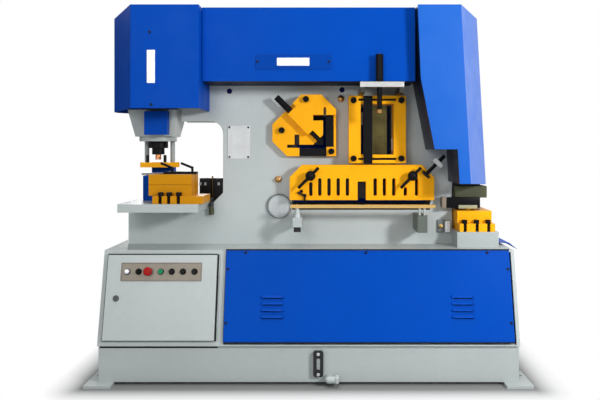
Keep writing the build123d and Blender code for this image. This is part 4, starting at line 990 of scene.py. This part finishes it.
class IRONWORKER_OT_louvre_ends(bpy.types.Operator):
    """Rounded pressed ends of the louvres in the front panel"""
    bl_idname = "ironworker.louvre_ends"
    bl_label = "Louvre ends"

    def execute(self, context):
        rise, above_lip, near = 0.008, 0.0052, 0.0002
        points = [vertex.co for vertex in NODES["front_panel"].data.vertices]
        tip_level = top_level("front_panel", SLOPE_OUT)
        tips = sorted({tuple(round(value, 4) for value in point) for point in points
                       if tip_level - point.dot(SLOPE_OUT) < near})
        for number, tip in enumerate(tips):
            seat = Vector(tip) - SLOPE_OUT * rise + SLOPE_UP * above_lip
            place_mesh("louvre_end_%d" % number, turned(LOUVRE_END, 24), SLOPE_TURN, seat,
                       "blue_enamel")
        return {"FINISHED"}


class IRONWORKER_OT_gauge_trim(bpy.types.Operator):
    """Sight glass and screws of the oil gauge"""
    bl_idname = "ironworker.gauge_trim"
    bl_label = "Oil gauge trim"

    def execute(self, context):
        low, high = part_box("oil_gauge")
        centre = middle("oil_gauge")
        reach = (high.z - low.z) * 0.40
        for number, side in enumerate((-1, 1)):
            place_mesh("gauge_screw_%d" % number, turned(GAUGE_SCREW, 26), FRONT_TURN,
                       (centre.x, low.y, centre.z + side * reach), "turned_steel")
        half, end = 0.0085, 0.033
        slab("gauge_glass", (centre.x - half, low.y + 0.0005, low.z + end),
             (centre.x + half, low.y + 0.0065, high.z - end), 0.0025, "sight_glass")
        return {"FINISHED"}


class IRONWORKER_OT_cabinet_fittings(bpy.types.Operator):
    """Mounting plate, contactors and cable duct behind the door"""
    bl_idname = "ironworker.cabinet_fittings"
    bl_label = "Cabinet fittings"

    def execute(self, context):
        plate, black, grey = "bare_plate_metal", "box_plastic", "contactor_grey"
        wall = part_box("base_frame")[1].y - 0.050
        back, thick, post = 0.150, 0.003, 0.008
        slab("cabinet_plate", (-0.880, back, 0.270), (-0.500, back + thick, 0.540), 0.001, plate)
        for number, (x, z) in enumerate(((-0.860, 0.290), (-0.520, 0.290), (-0.860, 0.520), (-0.520, 0.520))):
            slab("plate_post_%d" % number, (x - post, back + thick, z - post), (x + post, wall, z + post),
                 0.001, plate)
        face = back - 0.080
        for number, x in enumerate((-0.845, -0.785, -0.725)):
            slab("contactor_%d" % number, (x, face, 0.420), (x + 0.048, back, 0.500), 0.003, grey)
            slab("contactor_face_%d" % number, (x + 0.008, face - 0.012, 0.440), (x + 0.040, face, 0.480),
                 0.002, black)
        slab("cable_duct", (-0.870, back - 0.050, 0.330), (-0.510, back, 0.372), 0.002, "duct_grey")
        slab("transformer", (-0.640, back - 0.090, 0.410), (-0.540, back, 0.500), 0.004, black)
        return {"FINISHED"}


class IRONWORKER_OT_section_springs(bpy.types.Operator):
    """Return springs in the section station's window"""
    bl_idname = "ironworker.section_springs"
    bl_label = "Section springs"

    def execute(self, context):
        depth = front_of("section_frame") + 0.02
        radius, tall, turns = 0.0042, 0.060, 9
        for number, (x, bottom) in enumerate(((0.2592, 1.224), (0.4108, 1.094))):
            place_mesh("section_spring_%d" % number, coil(radius, sizes().spring_wire, tall, turns), NO_TURN,
                       (x, depth, bottom), "turned_steel")
        return {"FINISHED"}


class IRONWORKER_OT_stage(bpy.types.Operator):
    """Pale floor with a painted contact shadow near the base, soft light and the camera"""
    bl_idname = "ironworker.stage"
    bl_label = "Stage"

    def execute(self, context):
        self.floor()
        self.lights()
        self.room()
        self.dark_card()
        self.camera(context.scene)
        return {"FINISHED"}

    def seen_directly(self, tree):
        """One for rays from the eye, a mirror or glass."""
        path = add(tree, "ShaderNodeLightPath").outputs
        rays = [path["Is %s Ray" % kind] for kind in ("Camera", "Glossy", "Transmission")]
        return chain(tree, "MAXIMUM", *rays)

    def mix_shaders(self, tree, factor, first, second, target):
        mixed = add(tree, "ShaderNodeMixShader")
        for socket, value in zip(mixed.inputs, (factor, first, second)):
            tree.links.new(value, socket)
        tree.links.new(mixed.outputs[0], tree.nodes[target].inputs["Surface"])

    def floor(self):
        builder = bmesh.new()
        bmesh.ops.create_circle(builder, cap_ends=True, segments=96, radius=16.0)
        _, tree, sockets = new_material("floor_paper_painted_shadow")
        where = object_point(tree)
        clear = self.off_the_base(tree, where)
        paper = spread(tree, noise(tree, where, scale=1.4), NOISE_BAND, (0.97, 1.03))
        # Painted shadow: the paper is darker near the base, as a contact shadow
        shaded = product(tree, paper, spread(tree, clear, (0.0, 0.12), (0.22, 0.60)))
        feed(tree, grey_level(tree, shaded), sockets["Base Color"])
        sockets["Roughness"].default_value = 0.9
        sockets["Specular IOR Level"].default_value = 0.0
        glow = product(tree, spread(tree, clear, (0.01, 0.17), FULL), self.seen_directly(tree))
        bright = add(tree, "ShaderNodeEmission").outputs[0]
        self.mix_shaders(tree, glow, tree.nodes["Principled BSDF"].outputs[0], bright, "Material Output")
        new_object("floor", builder, "floor_paper_painted_shadow")

    def off_the_base(self, tree, where):
        """Distance over the floor from the outline of the base."""
        low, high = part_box("base_frame")
        place = axis_parts(tree, where)
        squares = []
        for axis in (0, 1):
            off_centre = maths(tree, "SUBTRACT", place[axis], (low[axis] + high[axis]) / 2)
            half = (high[axis] - low[axis]) / 2
            beyond = maths(tree, "SUBTRACT", maths(tree, "ABSOLUTE", off_centre), half)
            clear = maths(tree, "MAXIMUM", beyond, 0.0)
            squares.append(product(tree, clear, clear))
        return maths(tree, "POWER", total(tree, *squares), 0.5)

    def lights(self):
        for name, place, size, power in LAMPS:
            data = bpy.data.lights.new(name, "AREA")
            data.shape = "DISK"
            data.size = size
            data.energy = power
            lamp = bpy.data.objects.new(name, data)
            lamp.location = place
            lamp.rotation_euler = (LAMP_AIM - Vector(place)).to_track_quat("-Z", "Y").to_euler()
            bpy.context.scene.collection.objects.link(lamp)

    def room(self):
        """Dim room light, which the eye sees as white."""
        world = bpy.data.worlds.new("studio")
        world.use_nodes = True
        tree = world.node_tree
        dim = tree.nodes["Background"]
        white = add(tree, "ShaderNodeBackground")
        for node, tint, strength in ((dim, ROOM_TINT, ROOM_STRENGTH), (white, (1.0, 1.0, 1.0), 1.0)):
            node.inputs["Color"].default_value = solid(tint)
            node.inputs["Strength"].default_value = strength
        self.mix_shaders(tree, self.seen_directly(tree), dim.outputs[0], white.outputs[0], "World Output")
        bpy.context.scene.world = world

    def dark_card(self):
        """Dark card beside the left facet, which mirrors it."""
        builder = bmesh.new()
        bmesh.ops.create_grid(builder, x_segments=1, y_segments=1, size=0.9)
        sockets = new_material("card_black")[2]
        sockets["Base Color"].default_value = solid((0.01, 0.01, 0.01))
        card = new_object("dark_card", builder, "card_black")
        card.location = (-2.2, 1.25, 1.3)
        card.rotation_euler = Vector((0.666, -0.747, 0.0)).to_track_quat("Z", "Y").to_euler()
        card.visible_camera = False

    def camera(self, scene):
        values = scene.ironworker_camera
        data = bpy.data.cameras.new("front_view")
        data.lens = values.lens
        data.sensor_width = 36.0
        data.shift_x = values.shift_x
        data.shift_y = values.shift_y
        eye = bpy.data.objects.new("front_view", data)
        eye.location = values.place
        eye.rotation_euler = (math.radians(90), 0.0, 0.0)
        scene.collection.objects.link(eye)
        scene.camera = eye
        scene.view_settings.view_transform = "Standard"


OPERATORS = (IRONWORKER_OT_finishes, IRONWORKER_OT_control_trim, IRONWORKER_OT_blank_strips,
             IRONWORKER_OT_frame_fittings, IRONWORKER_OT_notch_trim, IRONWORKER_OT_front_seals,
             IRONWORKER_OT_louvre_ends, IRONWORKER_OT_gauge_trim, IRONWORKER_OT_cabinet_fittings,
             IRONWORKER_OT_section_springs, IRONWORKER_OT_stage)


class IRONWORKER_PT_panel(bpy.types.Panel):
    """Lists the steps that dress the machine"""
    bl_idname = "IRONWORKER_PT_panel"
    bl_label = "Ironworker"
    bl_space_type = "VIEW_3D"
    bl_region_type = "UI"
    bl_category = "Ironworker"

    def draw(self, context):
        for step in OPERATORS:
            self.layout.operator(step.bl_idname)
        for group in GROUPS:
            values = getattr(context.scene, group)
            for key in values.bl_rna.properties.keys():
                if key not in ("rna_type", "name"):
                    self.layout.prop(values, key)


GROUPS = {"ironworker_colours": IronworkerColours, "ironworker_sizes": IronworkerSizes,
          "ironworker_camera": IronworkerCamera}
CLASSES = (*GROUPS.values(), *OPERATORS, IRONWORKER_PT_panel)


def register():
    for item in CLASSES:
        bpy.utils.register_class(item)
    for key, group in GROUPS.items():
        setattr(bpy.types.Scene, key, PointerProperty(type=group))


def unregister():
    for key in GROUPS:
        delattr(bpy.types.Scene, key)
    for item in reversed(CLASSES):
        bpy.utils.unregister_class(item)


def main():
    register()
    for step in OPERATORS:
        family, name = step.bl_idname.split(".")
        getattr(getattr(bpy.ops, family), name)()


if __name__ == "__main__":
    main()
